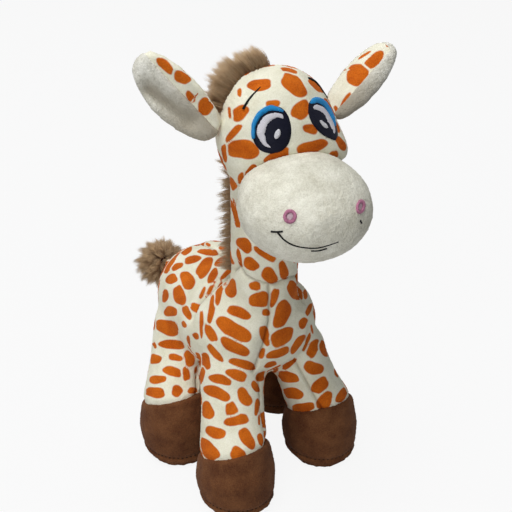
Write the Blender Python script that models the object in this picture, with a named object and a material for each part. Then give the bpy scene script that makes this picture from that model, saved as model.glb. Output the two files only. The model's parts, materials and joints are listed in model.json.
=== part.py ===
"""A stuffed toy giraffe that stands on four feet, as separate sewn and stuffed pieces.

Metres, +Z up. The giraffe faces -Y and its own left is +X. The origin is on the floor, under the
middle of the toy's box. Every piece is a closed solid: covers are shells of pile fabric, fillings
are the packed fibre inside them, and fur, linings and embroidery lie on the covers.
"""

import math

import bmesh
import bpy
from mathutils import Matrix, Vector

# Fabric and seams
PILE_WALL = 0.0022
SEAM_GAP = 0.0003
EMBROIDERY_THICK = 0.0008
CUT_OVERRUN = 0.004
TURN_GAP = 0.0008
SHARP_EDGE_DEG = 50.0

# Where the middle of the toy's box lies from the middle of its shoulders
BOX_MIDDLE_X = 0.0028
BOX_MIDDLE_Y = 0.0173

# Body
TORSO_FRONT_Y = -0.0330
TORSO_LENGTH = 0.1100
TORSO_HALF_WIDTH = 0.0365
TORSO_HALF_HEIGHT = 0.0340
TORSO_MIDDLE_Z = 0.0840
TORSO_BOW = 0.006
TORSO_WIDTH_SHARES = (1.16, 1.10, 0.95, 0.97, 0.90)
TORSO_HEIGHT_SHARES = (1.06, 1.02, 0.95, 1.0, 0.92)
TORSO_BOW_SHARES = (1.2, 0.6, 0.0, 0.1, -0.3)
TORSO_FULLNESS_SHARE = 0.66

# Legs: each hangs from a round end that sits in the body
FRONT_HIP_X = 0.0210
FRONT_HIP_Y = -0.0140
FRONT_HIP_Z = 0.0680
FRONT_FOOT_X = 0.0320
FRONT_FOOT_Y = -0.028
REAR_HIP_X = 0.0205
REAR_HIP_Y = 0.0410
REAR_HIP_Z = 0.0700
REAR_FOOT_X = 0.0380
REAR_FOOT_Y = 0.028
STANDING_STEP = 0.0045
HIP_RADIUS = 0.0182
LEG_RADIUS = 0.0190
LEG_RADIUS_SHARES = (0.955, 0.93, 0.92, 0.96, 1.0)
FRONT_SEAM_Z = 0.0345
REAR_SEAM_Z = 0.0380
HOOF_RADIUS = 0.0220
HOOF_LENGTH_SHARE = 1.06
HOOF_RADIUS_SHARES = (0.875, 1.0, 0.94)
HOOF_TOE = 0.003
SOLE_THICK = 0.0035
SOLE_INSET = 0.0028
SEAM_TILT_SHARE = 0.45
SWING_OUT_DEG = 12.0
SWING_IN_DEG = 3.5

# Neck
NECK_Y = -0.0140
NECK_PIVOT_Z = 0.1180
NECK_RADIUS = 0.0186
NECK_RADIUS_SHARES = (1.0, 0.95, 0.97, 1.0)
HEAD_PIVOT_Z = 0.1920

# Head: a skull with the muzzle sewn to its front, tilted a little to one side
HEAD_YAW_DEG = -8.0
MUZZLE_ROLL_DEG = 5.0
SKULL_Y = -0.0245
SKULL_TOP_Z = 0.2390
SKULL_LOW_Z = 0.1740
SKULL_HALF_WIDTH = 0.0295
SKULL_HALF_DEPTH = 0.0265
SKULL_WIDTH_SHARES = (0.92, 1.0, 1.0, 0.96, 0.9)
SKULL_DEPTH_SHARES = (0.95, 0.97, 1.0, 1.0, 0.9)
SKULL_FULLNESS_SHARE = 0.78
MUZZLE_BACK_Y = -0.0180
MUZZLE_FRONT_Y = -0.0865
MUZZLE_BACK_Z = 0.1838
MUZZLE_FRONT_Z = 0.1790
MUZZLE_HALF_WIDTH = 0.0325
MUZZLE_HALF_HEIGHT = 0.0248
MUZZLE_WIDTH_SHARES = (0.64, 0.82, 1.0, 1.03, 0.86)
MUZZLE_HEIGHT_SHARES = (0.80, 0.9, 1.0, 1.0, 0.82)
MUZZLE_FULLNESS_SHARE = 0.66

# Ears
EAR_ROOT_Y = -0.0255
EAR_ROOT_Z = 0.2105
EAR_TIP_LEFT_OUT = 0.0688
EAR_TIP_LEFT_Y = -0.0150
EAR_TIP_LEFT_Z = 0.2390
EAR_TIP_RIGHT_OUT = 0.0612
EAR_TIP_RIGHT_Y = -0.0085
EAR_TIP_RIGHT_Z = 0.2470
EAR_HALF_WIDTH = 0.0135
EAR_LAYER = 0.0022
EAR_CUP = 0.0060
EAR_LINING_INSET = 0.0012
EAR_FULLNESS_SHARE = 0.52
EAR_WIDTH_SHARES = (0.80, 0.92, 1.0, 0.98, 0.82)
EAR_TILT_LEFT_DEG = 112.0
EAR_TILT_RIGHT_DEG = 22.0

# Fur
FORELOCK_BACK_Y = 0.0080
FORELOCK_BACK_Z = 0.2000
FORELOCK_FRONT_Y = -0.0080
FORELOCK_FRONT_Z = 0.2440
FORELOCK_HALF_WIDTH = 0.0065
FORELOCK_HALF_HEIGHT = 0.0125
MANE_WIDTH = 0.0090
MANE_DEPTH = 0.0095
NECK_MANE_LOW_Z = 0.1240
NECK_MANE_HIGH_Z = 0.1760

# Tail
TAIL_RADIUS = 0.0055
TAIL_STUB_LENGTH = 0.015
TAIL_DROP_DEG = 14.0
STUB_FULLNESS_SHARE = 0.5
TUFT_LENGTH = 0.028
TUFT_FULLNESS_SHARE = 0.66
TUFT_RADIUS = 0.0145

# Embroidery, placed on the head before it is turned
EYE_OUT = 0.0145
EYE_Z = 0.2178
EYE_TURN_DEG = 24.0
EYE_LIFT_DEG = 10.0
EYE_HALF_WIDTH = 0.0088
EYE_HALF_HEIGHT = 0.0108
NOSTRIL_OUT = 0.0193
NOSTRIL_BACK = 0.0070
NOSTRIL_Z = 0.1870
NOSTRIL_TURN_DEG = 28.0
NOSTRIL_LIFT_DEG = 22.0
NOSTRIL_RADIUS = 0.0030

# Mesh counts
BODY_SIDES = 22
BODY_RINGS = 9
LIMB_SIDES = 16
LIMB_RINGS = 4
BALL_RINGS = 4
HOOF_RINGS = 2
HEAD_SIDES = 22
HEAD_RINGS = 9
EAR_SIDES = 12
EAR_RINGS = 7
FUR_SIDES = 12
FUR_RINGS = 6
DISC_SIDES = 16

EVEN_SHARES = (1.0, 1.0)
BOX_MIDDLE = Vector((BOX_MIDDLE_X, BOX_MIDDLE_Y, 0.0))
TORSO_MIDDLE_Y = TORSO_FRONT_Y + TORSO_LENGTH / 2
X_AXIS = Vector((1.0, 0.0, 0.0))
Y_AXIS = Vector((0.0, 1.0, 0.0))
Z_AXIS = Vector((0.0, 0.0, 1.0))

# Finishes: colour, roughness and metallic value
PRINTED_PILE = ("printed_pile", (0.82, 0.68, 0.50, 1.0), 0.9, 0.0)
PLAIN_PILE = ("plain_pile", (0.84, 0.80, 0.68, 1.0), 0.9, 0.0)
BROWN_PILE = ("brown_pile", (0.11, 0.05, 0.03, 1.0), 0.95, 0.0)
BROWN_FUR = ("brown_fur", (0.25, 0.12, 0.05, 1.0), 1.0, 0.0)
FIBRE_FILL = ("fibre_fill", (0.90, 0.90, 0.88, 1.0), 1.0, 0.0)
EYE_THREAD = ("eye_thread", (0.10, 0.14, 0.30, 1.0), 0.5, 0.0)
PINK_THREAD = ("pink_thread", (0.52, 0.22, 0.31, 1.0), 0.5, 0.0)


def clear_scene():
    """Remove every object that the file starts with."""
    for thing in list(bpy.data.objects):
        bpy.data.objects.remove(thing, do_unlink=True)


def add_object(name, bm):
    """Turn a bmesh into a linked object with its faces pointing out."""
    bm.normal_update()
    bmesh.ops.recalc_face_normals(bm, faces=bm.faces)
    mesh = bpy.data.meshes.new(name)
    bm.to_mesh(mesh)
    bm.free()
    thing = bpy.data.objects.new(name, mesh)
    bpy.context.scene.collection.objects.link(thing)
    return thing


def finish(thing, look):
    """Give a piece its own material and smooth shading."""
    title, colour, roughness, metallic = look
    material = bpy.data.materials.new(thing.name + "_" + title)
    material.use_nodes = True
    shader = material.node_tree.nodes["Principled BSDF"]
    shader.inputs["Base Color"].default_value = colour
    shader.inputs["Roughness"].default_value = roughness
    shader.inputs["Metallic"].default_value = metallic
    thing.data.materials.clear()
    thing.data.materials.append(material)
    thing.data.shade_smooth()
    thing.data.set_sharp_from_angle(angle=math.radians(SHARP_EDGE_DEG))
    return thing


def as_cutter(thing):
    """Mark an object as a cutter or guide that isn't a piece."""
    thing.hide_render = True
    thing.display_type = "WIRE"
    return thing


def boolean(thing, other, operation):
    """Cut, join or keep the common part of two solids."""
    step = thing.modifiers.new(operation.title(), "BOOLEAN")
    step.operation = operation
    step.solver = "EXACT"
    step.object = other


def cut(thing, *others):
    for other in others:
        boolean(thing, other, "DIFFERENCE")


def keep_inside(thing, other):
    boolean(thing, other, "INTERSECT")


def smooth_share(shares, along):
    """Read a table of evenly spaced shares as a smooth curve, at 0 to 1 along it."""
    place = along * (len(shares) - 1)
    index = min(int(place), len(shares) - 2)
    blend = place - index
    before = shares[max(index - 1, 0)]
    here = shares[index]
    there = shares[index + 1]
    after = shares[min(index + 2, len(shares) - 1)]
    slope_here = (there - before) / 2
    slope_there = (after - here) / 2
    square = blend * blend
    cube = square * blend
    return (
        (2 * cube - 3 * square + 1) * here
        + (cube - 2 * square + blend) * slope_here
        + (3 * square - 2 * cube) * there
        + (cube - square) * slope_there
    )


def ringed_form(name, first_pole, rings, last_pole, sides, spreads=None):
    """A closed form: a ball whose rings are moved to their own centres and sizes.

    A ring is its centre and its two half axes, as vectors. A spread parts its two halves along Y.
    """
    bm = bmesh.new()
    levels = len(rings) + 1
    bmesh.ops.create_uvsphere(bm, u_segments=sides, v_segments=levels, radius=1)
    for vertex in bm.verts:
        height = max(-1.0, min(1.0, vertex.co.z))
        level = round(math.acos(height) / math.pi * levels)
        if level == 0:
            vertex.co = first_pole
        elif level == levels:
            vertex.co = last_pole
        else:
            angle = math.atan2(vertex.co.y, vertex.co.x)
            centre, across, upward = rings[level - 1]
            place = centre + across * math.cos(angle) + upward * math.sin(angle)
            if spreads and abs(math.sin(angle)) > 0.5 / sides:
                place += Y_AXIS * math.copysign(spreads[level - 1], math.sin(angle))
            vertex.co = place
    return add_object(name, bm)


def swollen_rings(first, last, across, upward, width_shares, height_shares, count, fullness):
    """Rings of a stuffed form between two poles, round at both ends and swelling between."""
    rings = []
    for step in range(1, count + 1):
        turn = math.pi * step / (count + 1)
        along = (1 - math.cos(turn)) / 2
        swell = math.sin(turn) ** fullness
        centre = first.lerp(last, along)
        wide = across * (swell * smooth_share(width_shares, along))
        high = upward * (swell * smooth_share(height_shares, along))
        rings.append((centre, wide, high))
    return rings


def grown_copy(thing, name, distance):
    """A copy of a plain form with its surface moved out, or in where the distance is negative."""
    bm = bmesh.new()
    bm.from_mesh(thing.data)
    bm.normal_update()
    moves = [vertex.normal * distance for vertex in bm.verts]
    for vertex, move in zip(bm.verts, moves):
        vertex.co += move
    return as_cutter(add_object(name, bm))


def solid_copy(thing, name):
    """A copy of a form, kept as a guide, that becomes a piece."""
    copy = bpy.data.objects.new(name, thing.data.copy())
    bpy.context.scene.collection.objects.link(copy)
    return copy


def block(name, low, high):
    """A box-shaped guide solid between two corners."""
    bm = bmesh.new()
    bmesh.ops.create_cube(bm, size=1)
    size = high - low
    bmesh.ops.scale(bm, verts=bm.verts, vec=size)
    bmesh.ops.translate(bm, verts=bm.verts, vec=(low + high) / 2)
    return as_cutter(add_object(name, bm))


def torso_form(name):
    """The body: a stuffed form from chest to rump, flat-sided and bowed along its back."""
    first = Vector((0.0, TORSO_FRONT_Y, TORSO_MIDDLE_Z))
    last = Vector((0.0, TORSO_FRONT_Y + TORSO_LENGTH, TORSO_MIDDLE_Z))
    rings = swollen_rings(
        first, last, X_AXIS * TORSO_HALF_WIDTH, Z_AXIS * TORSO_HALF_HEIGHT,
        TORSO_WIDTH_SHARES, TORSO_HEIGHT_SHARES, BODY_RINGS, TORSO_FULLNESS_SHARE,
    )
    bowed = []
    for centre, across, upward in rings:
        along = (centre.y - TORSO_FRONT_Y) / TORSO_LENGTH
        lift = Z_AXIS * (TORSO_BOW * smooth_share(TORSO_BOW_SHARES, along))
        bowed.append((centre + lift, across, upward))
    return as_cutter(ringed_form(name, first, bowed, last, BODY_SIDES))


def sloped(radius, share):
    """A ring's half axis along Y, which rises to the front towards the foot's sloping seam."""
    return Vector((0.0, radius, -radius * SEAM_TILT_SHARE * share))


def leg_form(name, hip, foot, inset, low_z):
    """A limb: a round end about the hip, then a tapering and swelling shaft down to a low ring."""
    rings = []
    hip_radius = HIP_RADIUS - inset
    for step in range(1, BALL_RINGS + 1):
        angle = math.pi / 2 * step / BALL_RINGS
        radius = hip_radius * math.sin(angle)
        centre = hip + Z_AXIS * (hip_radius * math.cos(angle))
        rings.append((centre, X_AXIS * radius, Y_AXIS * radius))
    low = foot.copy()
    low.z = max(low_z, foot.z)
    for step in range(1, LIMB_RINGS + 1):
        share = step / LIMB_RINGS
        radius = LEG_RADIUS * smooth_share(LEG_RADIUS_SHARES, share) - inset
        rings.append((hip.lerp(low, share), X_AXIS * radius, sloped(radius, share * share)))
    if low_z < foot.z:
        centre, across, upward = rings[-1]
        rings.append((centre + Z_AXIS * (low_z - foot.z), across, upward))
    top = hip + Z_AXIS * hip_radius
    return as_cutter(ringed_form(name, top, rings, rings[-1][0], LIMB_SIDES))


def hoof_form(name, foot, inset, high_z, low_z):
    """A foot: a fuller, slightly long form under the sloping seam, with its ends flat."""
    heights = [high_z]
    for step in range(HOOF_RINGS + 1):
        height = foot.z + (SOLE_THICK - foot.z) * step / HOOF_RINGS
        if low_z + SEAM_GAP < height < high_z - SEAM_GAP:
            heights.append(height)
    heights.append(low_z)
    rings = []
    for height in heights:
        down = max(0.0, min(1.0, (foot.z - height) / (foot.z - SOLE_THICK)))
        share = smooth_share(HOOF_RADIUS_SHARES, down)
        half_width = HOOF_RADIUS * share - inset
        half_length = HOOF_RADIUS * HOOF_LENGTH_SHARE * share - inset
        centre = Vector((foot.x, foot.y - HOOF_TOE * down, height))
        rings.append((centre, X_AXIS * half_width, sloped(half_length, 1 - down)))
    return as_cutter(ringed_form(name, rings[0][0], rings, rings[-1][0], LIMB_SIDES))


def neck_form(name, radius_step):
    """The neck: round about its own upright axis, with a ball at each end."""
    rings = []
    radius = NECK_RADIUS + radius_step
    centre_low = Vector((0.0, NECK_Y, NECK_PIVOT_Z))
    centre_high = Vector((0.0, NECK_Y, HEAD_PIVOT_Z))
    for step in range(1, BALL_RINGS + 1):
        angle = math.pi / 2 * step / BALL_RINGS
        centre = centre_high + Z_AXIS * (radius * math.cos(angle))
        size = radius * math.sin(angle)
        rings.append((centre, X_AXIS * size, Y_AXIS * size))
    for step in range(1, LIMB_RINGS):
        along = step / LIMB_RINGS
        centre = centre_high.lerp(centre_low, along)
        size = NECK_RADIUS * smooth_share(NECK_RADIUS_SHARES, along) + radius_step
        rings.append((centre, X_AXIS * size, Y_AXIS * size))
    for step in range(BALL_RINGS):
        angle = math.pi / 2 * step / BALL_RINGS
        centre = centre_low - Z_AXIS * (radius * math.sin(angle))
        size = radius * math.cos(angle)
        rings.append((centre, X_AXIS * size, Y_AXIS * size))
    top = centre_high + Z_AXIS * radius
    bottom = centre_low - Z_AXIS * radius
    return as_cutter(ringed_form(name, top, rings, bottom, LIMB_SIDES))


def head_pivot():
    return Vector((0.0, NECK_Y, HEAD_PIVOT_Z))


def about(pivot, degrees, axis):
    """A turn about an axis through a point."""
    turn = Matrix.Rotation(math.radians(degrees), 4, axis)
    return Matrix.Translation(pivot) @ turn @ Matrix.Translation(-pivot)


def head_turn():
    """The head looks a little to one side."""
    return about(head_pivot(), HEAD_YAW_DEG, "Z")


def on_head(thing):
    """Turn a form that was drawn looking straight ahead to where the head looks."""
    thing.data.transform(head_turn())
    return thing


def on_muzzle(thing):
    """Place a form on the muzzle, which is sewn on with a slight roll of its own."""
    thing.data.transform(about(Vector((0.0, 0.0, MUZZLE_FRONT_Z)), MUZZLE_ROLL_DEG, "Y"))
    return on_head(thing)


def skull_form(name):
    """The round upper head, upright from crown to jaw."""
    top = Vector((0.0, SKULL_Y, SKULL_TOP_Z))
    low = Vector((0.0, SKULL_Y, SKULL_LOW_Z))
    rings = swollen_rings(
        top, low, X_AXIS * SKULL_HALF_WIDTH, Y_AXIS * SKULL_HALF_DEPTH,
        SKULL_WIDTH_SHARES, SKULL_DEPTH_SHARES, HEAD_RINGS, SKULL_FULLNESS_SHARE,
    )
    return as_cutter(ringed_form(name, top, rings, low, HEAD_SIDES))


def muzzle_form(name):
    """The broad blunt muzzle that stands forward from the skull."""
    back = Vector((0.0, MUZZLE_BACK_Y, MUZZLE_BACK_Z))
    front = Vector((0.0, MUZZLE_FRONT_Y, MUZZLE_FRONT_Z))
    rings = swollen_rings(
        back, front, X_AXIS * MUZZLE_HALF_WIDTH, Z_AXIS * MUZZLE_HALF_HEIGHT,
        MUZZLE_WIDTH_SHARES, MUZZLE_HEIGHT_SHARES, HEAD_RINGS, MUZZLE_FULLNESS_SHARE,
    )
    return as_cutter(ringed_form(name, back, rings, front, HEAD_SIDES))


def hips():
    """Each leg's name, its hip, and its middle at the foot's seam.

    The right feet stand a step ahead of the left.
    """
    places = {}
    for side, sign in (("left", 1), ("right", -1)):
        step = sign * STANDING_STEP
        places["front_" + side] = (
            Vector((sign * FRONT_HIP_X, FRONT_HIP_Y, FRONT_HIP_Z)),
            Vector((sign * FRONT_FOOT_X, FRONT_FOOT_Y + step, FRONT_SEAM_Z)),
        )
        places["rear_" + side] = (
            Vector((sign * REAR_HIP_X, REAR_HIP_Y, REAR_HIP_Z)),
            Vector((sign * REAR_FOOT_X, REAR_FOOT_Y + step, REAR_SEAM_Z)),
        )
    return places


def swing_space(name, hip, foot):
    """The space that a leg sweeps as it swings away from the other pair, with the gap round it."""
    lean = math.atan2(foot.y - hip.y, hip.z - foot.z)
    outward = math.copysign(math.radians(SWING_OUT_DEG), hip.y - TORSO_MIDDLE_Y)
    inward = -math.copysign(math.radians(SWING_IN_DEG), outward)
    limits = sorted((lean + outward, lean + inward))
    radius = max(HIP_RADIUS, LEG_RADIUS * LEG_RADIUS_SHARES[0]) + TURN_GAP
    stretch = 1 / math.cos(max(abs(limit) for limit in limits))
    rings = []
    spreads = []
    for step in range(1, BALL_RINGS + 1):
        angle = math.pi / 2 * step / BALL_RINGS
        size = radius * math.sin(angle)
        centre = hip + Z_AXIS * (radius * math.cos(angle))
        widening = 1 + (stretch - 1) * step / BALL_RINGS
        rings.append((centre, X_AXIS * size, Y_AXIS * size * widening))
        spreads.append(0.0)
    for step in range(1, LIMB_RINGS + 1):
        depth = (hip.z - foot.z) * step / LIMB_RINGS
        reach_front, reach_rear = (depth * math.tan(limit) for limit in limits)
        centre = hip.lerp(foot, step / LIMB_RINGS)
        centre.y = hip.y + (reach_front + reach_rear) / 2
        # The leg leans out to its side too, so its turn needs more room lower down
        size = radius + TURN_GAP * step / LIMB_RINGS
        rings.append((centre, X_AXIS * size, Y_AXIS * size * stretch))
        spreads.append((reach_rear - reach_front) / 2)
    top = hip + Z_AXIS * radius
    return as_cutter(ringed_form(name, top, rings, rings[-1][0], LIMB_SIDES, spreads))


def build_body():
    """Two sewn side panels over the body's filling, with room for the neck and the legs."""
    neck_space = neck_form("guide_neck_space", TURN_GAP)
    sweeps = [swing_space("guide_swing_" + name, *places) for name, places in hips().items()]
    outer = torso_form("guide_torso")
    inner = grown_copy(outer, "guide_torso_inner", -PILE_WALL)
    fill_shape = grown_copy(outer, "guide_torso_fill", -PILE_WALL - SEAM_GAP)
    reach = TORSO_LENGTH + TORSO_HALF_HEIGHT * 2
    for side, sign in (("left", 1), ("right", -1)):
        panel = finish(solid_copy(outer, "body_panel_" + side), PRINTED_PILE)
        near = sign * SEAM_GAP / 2
        far = -sign * reach
        low = Vector((min(near, far), -reach, 0.0))
        high = Vector((max(near, far), reach, reach * 2))
        other_half = block("guide_half_" + side, low, high)
        cut(panel, inner, other_half, neck_space, *sweeps)
    filling = finish(solid_copy(fill_shape, "body_filling"), FIBRE_FILL)
    cut(filling, neck_space, *sweeps)


def build_leg(name, hip, foot):
    """Cover, foot cover, sole and filling of one leg."""
    seam_half = SEAM_GAP / 2
    fill_inset = PILE_WALL + SEAM_GAP
    leg = leg_form("guide_leg_" + name, hip, foot, 0.0, foot.z + seam_half)
    leg_inner = leg_form("guide_leg_inner_" + name, hip, foot, PILE_WALL, foot.z - CUT_OVERRUN)
    leg_fill = leg_form("guide_leg_fill_" + name, hip, foot, fill_inset, foot.z - CUT_OVERRUN)
    foot_top = foot.z - seam_half
    foot_low = SOLE_THICK + SEAM_GAP
    hoof = hoof_form("guide_hoof_" + name, foot, 0.0, foot_top, foot_low)
    hoof_inner = hoof_form(
        "guide_hoof_inner_" + name, foot, PILE_WALL, foot.z + CUT_OVERRUN, SOLE_THICK - CUT_OVERRUN,
    )
    foot_fill = hoof_form("guide_foot_fill_" + name, foot, fill_inset, foot_top, foot_low)
    sole = hoof_form("guide_sole_" + name, foot, SOLE_INSET, SOLE_THICK, 0.0)
    cut(finish(solid_copy(leg, "leg_cover_" + name), PRINTED_PILE), leg_inner)
    cut(finish(solid_copy(hoof, "hoof_cover_" + name), BROWN_PILE), hoof_inner)
    finish(solid_copy(sole, "hoof_sole_" + name), BROWN_PILE)
    filling = finish(solid_copy(leg_fill, "leg_filling_" + name), FIBRE_FILL)
    boolean(filling, foot_fill, "UNION")


def build_neck():
    """Neck cover, filling and the strip of mane down its back."""
    outer = neck_form("guide_neck", 0.0)
    inner = neck_form("guide_neck_inner", -PILE_WALL)
    # The cover is open under the skull, where the head's own cover closes it
    opening = block(
        "guide_neck_opening",
        Vector((-NECK_RADIUS * 2, NECK_Y - NECK_RADIUS * 2, HEAD_PIVOT_Z + NECK_RADIUS / 2)),
        Vector((NECK_RADIUS * 2, NECK_Y + NECK_RADIUS * 2, HEAD_PIVOT_Z + NECK_RADIUS * 2)),
    )
    cover = finish(solid_copy(outer, "neck_cover"), PRINTED_PILE)
    cut(cover, inner, opening)
    filling = finish(solid_copy(neck_form("guide_neck_fill", -PILE_WALL - SEAM_GAP), "neck_filling"),
                     FIBRE_FILL)
    mane = finish(solid_copy(neck_form("guide_mane", MANE_DEPTH), "neck_mane"), BROWN_FUR)
    strip = block(
        "guide_neck_mane_strip",
        Vector((-MANE_WIDTH / 2, NECK_Y, NECK_MANE_LOW_Z)),
        Vector((MANE_WIDTH / 2, NECK_Y + NECK_RADIUS * 2, NECK_MANE_HIGH_Z)),
    )
    keep_inside(mane, strip)
    cut(mane, neck_form("guide_mane_seat", SEAM_GAP))


def patch_guide(name, sign, middle, turn_deg, lift_deg, half_width, half_height):
    """A guide prism with an oval section, which looks out of the head's front."""
    turn = math.radians(turn_deg)
    lift = math.radians(lift_deg)
    outward = Vector((
        sign * math.sin(turn) * math.cos(lift), -math.cos(turn) * math.cos(lift), math.sin(lift),
    ))
    bm = bmesh.new()
    bmesh.ops.create_cone(
        bm, cap_ends=True, segments=DISC_SIDES, radius1=1, radius2=1, depth=1,
    )
    reach = MUZZLE_HALF_WIDTH
    bmesh.ops.scale(bm, verts=bm.verts, vec=Vector((half_width, half_height, reach)))
    across = Z_AXIS.cross(outward).normalized()
    upward = outward.cross(across)
    facing = Matrix((across, upward, outward)).transposed()
    bmesh.ops.rotate(bm, verts=bm.verts, cent=Vector(), matrix=facing)
    # The prism leaves the head through the patch's middle
    bmesh.ops.translate(bm, verts=bm.verts, vec=middle)
    return as_cutter(add_object(name, bm))


def build_patches(side, sign, skull, muzzle):
    """One embroidered eye on the skull and one nostril on the muzzle."""
    eye_depth = SKULL_HALF_DEPTH * math.sqrt(1 - (EYE_OUT / SKULL_HALF_WIDTH) ** 2)
    eye_guide = on_head(patch_guide(
        "guide_eye_" + side, sign, Vector((sign * EYE_OUT, SKULL_Y - eye_depth, EYE_Z)),
        EYE_TURN_DEG, EYE_LIFT_DEG, EYE_HALF_WIDTH, EYE_HALF_HEIGHT,
    ))
    nostril_guide = on_muzzle(patch_guide(
        "guide_nostril_" + side, sign,
        Vector((sign * NOSTRIL_OUT, MUZZLE_FRONT_Y + NOSTRIL_BACK, NOSTRIL_Z)),
        NOSTRIL_TURN_DEG, NOSTRIL_LIFT_DEG, NOSTRIL_RADIUS, NOSTRIL_RADIUS,
    ))
    for name, surface, guide, look in (
        ("eye_" + side, skull, eye_guide, EYE_THREAD),
        ("nostril_" + side, muzzle, nostril_guide, PINK_THREAD),
    ):
        seat = grown_copy(surface, "guide_seat_" + name, SEAM_GAP)
        face = grown_copy(surface, "guide_face_" + name, SEAM_GAP + EMBROIDERY_THICK)
        patch = finish(solid_copy(face, name), look)
        cut(patch, seat)
        keep_inside(patch, guide)


def build_head():
    """Skull cover, muzzle cover, filling, embroidered eyes and nostrils, and forelock."""
    skull = on_head(skull_form("guide_skull"))
    muzzle = on_muzzle(muzzle_form("guide_muzzle"))
    neck_space = neck_form("guide_neck_space_head", TURN_GAP)
    head_cover = finish(solid_copy(skull, "head_cover"), PRINTED_PILE)
    cut(
        head_cover,
        grown_copy(skull, "guide_skull_inner", -PILE_WALL),
        grown_copy(muzzle, "guide_muzzle_space", SEAM_GAP),
        neck_space,
    )
    muzzle_cover = finish(solid_copy(muzzle, "muzzle_cover"), PLAIN_PILE)
    cut(
        muzzle_cover,
        grown_copy(muzzle, "guide_muzzle_inner", -PILE_WALL),
        skull,
        neck_space,
    )
    inset = PILE_WALL + SEAM_GAP
    filling = finish(
        solid_copy(grown_copy(skull, "guide_skull_fill", -inset), "head_filling"), FIBRE_FILL,
    )
    boolean(filling, grown_copy(muzzle, "guide_muzzle_fill", -inset), "UNION")
    cut(filling, neck_space)
    for side, sign in (("left", 1), ("right", -1)):
        build_patches(side, sign, skull, muzzle)
    build_forelock(grown_copy(skull, "guide_skull_seat", SEAM_GAP), neck_space)


def build_forelock(seat, neck_space):
    """The tuft that stands on the crown."""
    first = Vector((0.0, FORELOCK_BACK_Y, FORELOCK_BACK_Z))
    last = Vector((0.0, FORELOCK_FRONT_Y, FORELOCK_FRONT_Z))
    proud = X_AXIS.cross(last - first).normalized()
    rings = swollen_rings(
        first, last, X_AXIS * FORELOCK_HALF_WIDTH, proud * FORELOCK_HALF_HEIGHT,
        EVEN_SHARES, EVEN_SHARES, FUR_RINGS, TUFT_FULLNESS_SHARE,
    )
    shape = on_head(as_cutter(ringed_form("guide_forelock", first, rings, last, FUR_SIDES)))
    forelock = finish(solid_copy(shape, "forelock"), BROWN_FUR)
    cut(forelock, seat, neck_space)


def skull_half_width(height):
    """How far out the skull's side is at a height."""
    along = (SKULL_TOP_Z - height) / (SKULL_TOP_Z - SKULL_LOW_Z)
    swell = (2 * math.sqrt(along * (1 - along))) ** SKULL_FULLNESS_SHARE
    return SKULL_HALF_WIDTH * swell * smooth_share(SKULL_WIDTH_SHARES, along)


def ear_root(sign):
    """The point of the head's side where an ear is sewn on, on the level head."""
    return Vector((sign * (skull_half_width(EAR_ROOT_Z) + TURN_GAP), EAR_ROOT_Y, EAR_ROOT_Z))


def ear_form(name, sign, tip, tilt_deg, inset, lift):
    """One layer of an ear: a thin leaf, cupped along its length."""
    root = ear_root(sign)
    along = (tip - root).normalized()
    # The face of the ear looks forward and down
    tilt = math.radians(tilt_deg)
    face = Vector((0.0, -math.cos(tilt), -math.sin(tilt)))
    face = (face - along * face.dot(along)).normalized()
    across = along.cross(face)
    first = root + along * inset
    last = tip - along * inset
    half_width = EAR_HALF_WIDTH - inset
    rings = []
    for step in range(1, EAR_RINGS + 1):
        turn = math.pi * step / (EAR_RINGS + 1)
        reach = (1 - math.cos(turn)) / 2
        swell = math.sin(turn) ** EAR_FULLNESS_SHARE
        width = half_width * swell * smooth_share(EAR_WIDTH_SHARES, reach)
        rings.append((first.lerp(last, reach), across * width, face * (EAR_LAYER / 2)))
    layer = ringed_form(name, first, rings, last, EAR_SIDES)
    for vertex in layer.data.vertices:
        side_share = (vertex.co - root).dot(across) / EAR_HALF_WIDTH
        vertex.co += face * (lift + EAR_CUP * side_share * side_share)
    return on_head(as_cutter(layer))


def build_ear(side, sign, tip, tilt_deg):
    """A printed back with a plain lining sewn to its front."""
    half_step = (EAR_LAYER + SEAM_GAP) / 2
    back = ear_form("guide_ear_back_" + side, sign, tip, tilt_deg, 0.0, -half_step)
    lining = ear_form("guide_ear_lining_" + side, sign, tip, tilt_deg, EAR_LINING_INSET, half_step)
    skull = on_head(skull_form("guide_skull_side_" + side))
    skull_side = grown_copy(skull, "guide_ear_seat_" + side, TURN_GAP)
    cut(finish(solid_copy(back, "ear_back_" + side), PRINTED_PILE), skull_side)
    cut(finish(solid_copy(lining, "ear_lining_" + side), PLAIN_PILE), skull_side)


def tail_root():
    return Vector((0.0, TORSO_FRONT_Y + TORSO_LENGTH + TURN_GAP, TORSO_MIDDLE_Z))


def build_tail():
    """A short printed stub and the fur tuft on its end."""
    drop = math.radians(TAIL_DROP_DEG)
    along = Vector((0.0, math.cos(drop), -math.sin(drop)))
    upward = X_AXIS.cross(along)
    root = tail_root()
    stub_end = root + along * TAIL_STUB_LENGTH
    tuft_start = stub_end + along * SEAM_GAP
    tuft_end = tuft_start + along * TUFT_LENGTH
    for name, first, last, radius, fullness, look in (
        ("tail_stub", root, stub_end, TAIL_RADIUS, STUB_FULLNESS_SHARE, PRINTED_PILE),
        ("tail_tuft", tuft_start, tuft_end, TUFT_RADIUS, TUFT_FULLNESS_SHARE, BROWN_FUR),
    ):
        rings = swollen_rings(
            first, last, X_AXIS * radius, upward * radius,
            EVEN_SHARES, EVEN_SHARES, FUR_RINGS, fullness,
        )
        finish(ringed_form(name, first, rings, last, FUR_SIDES), look)


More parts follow.
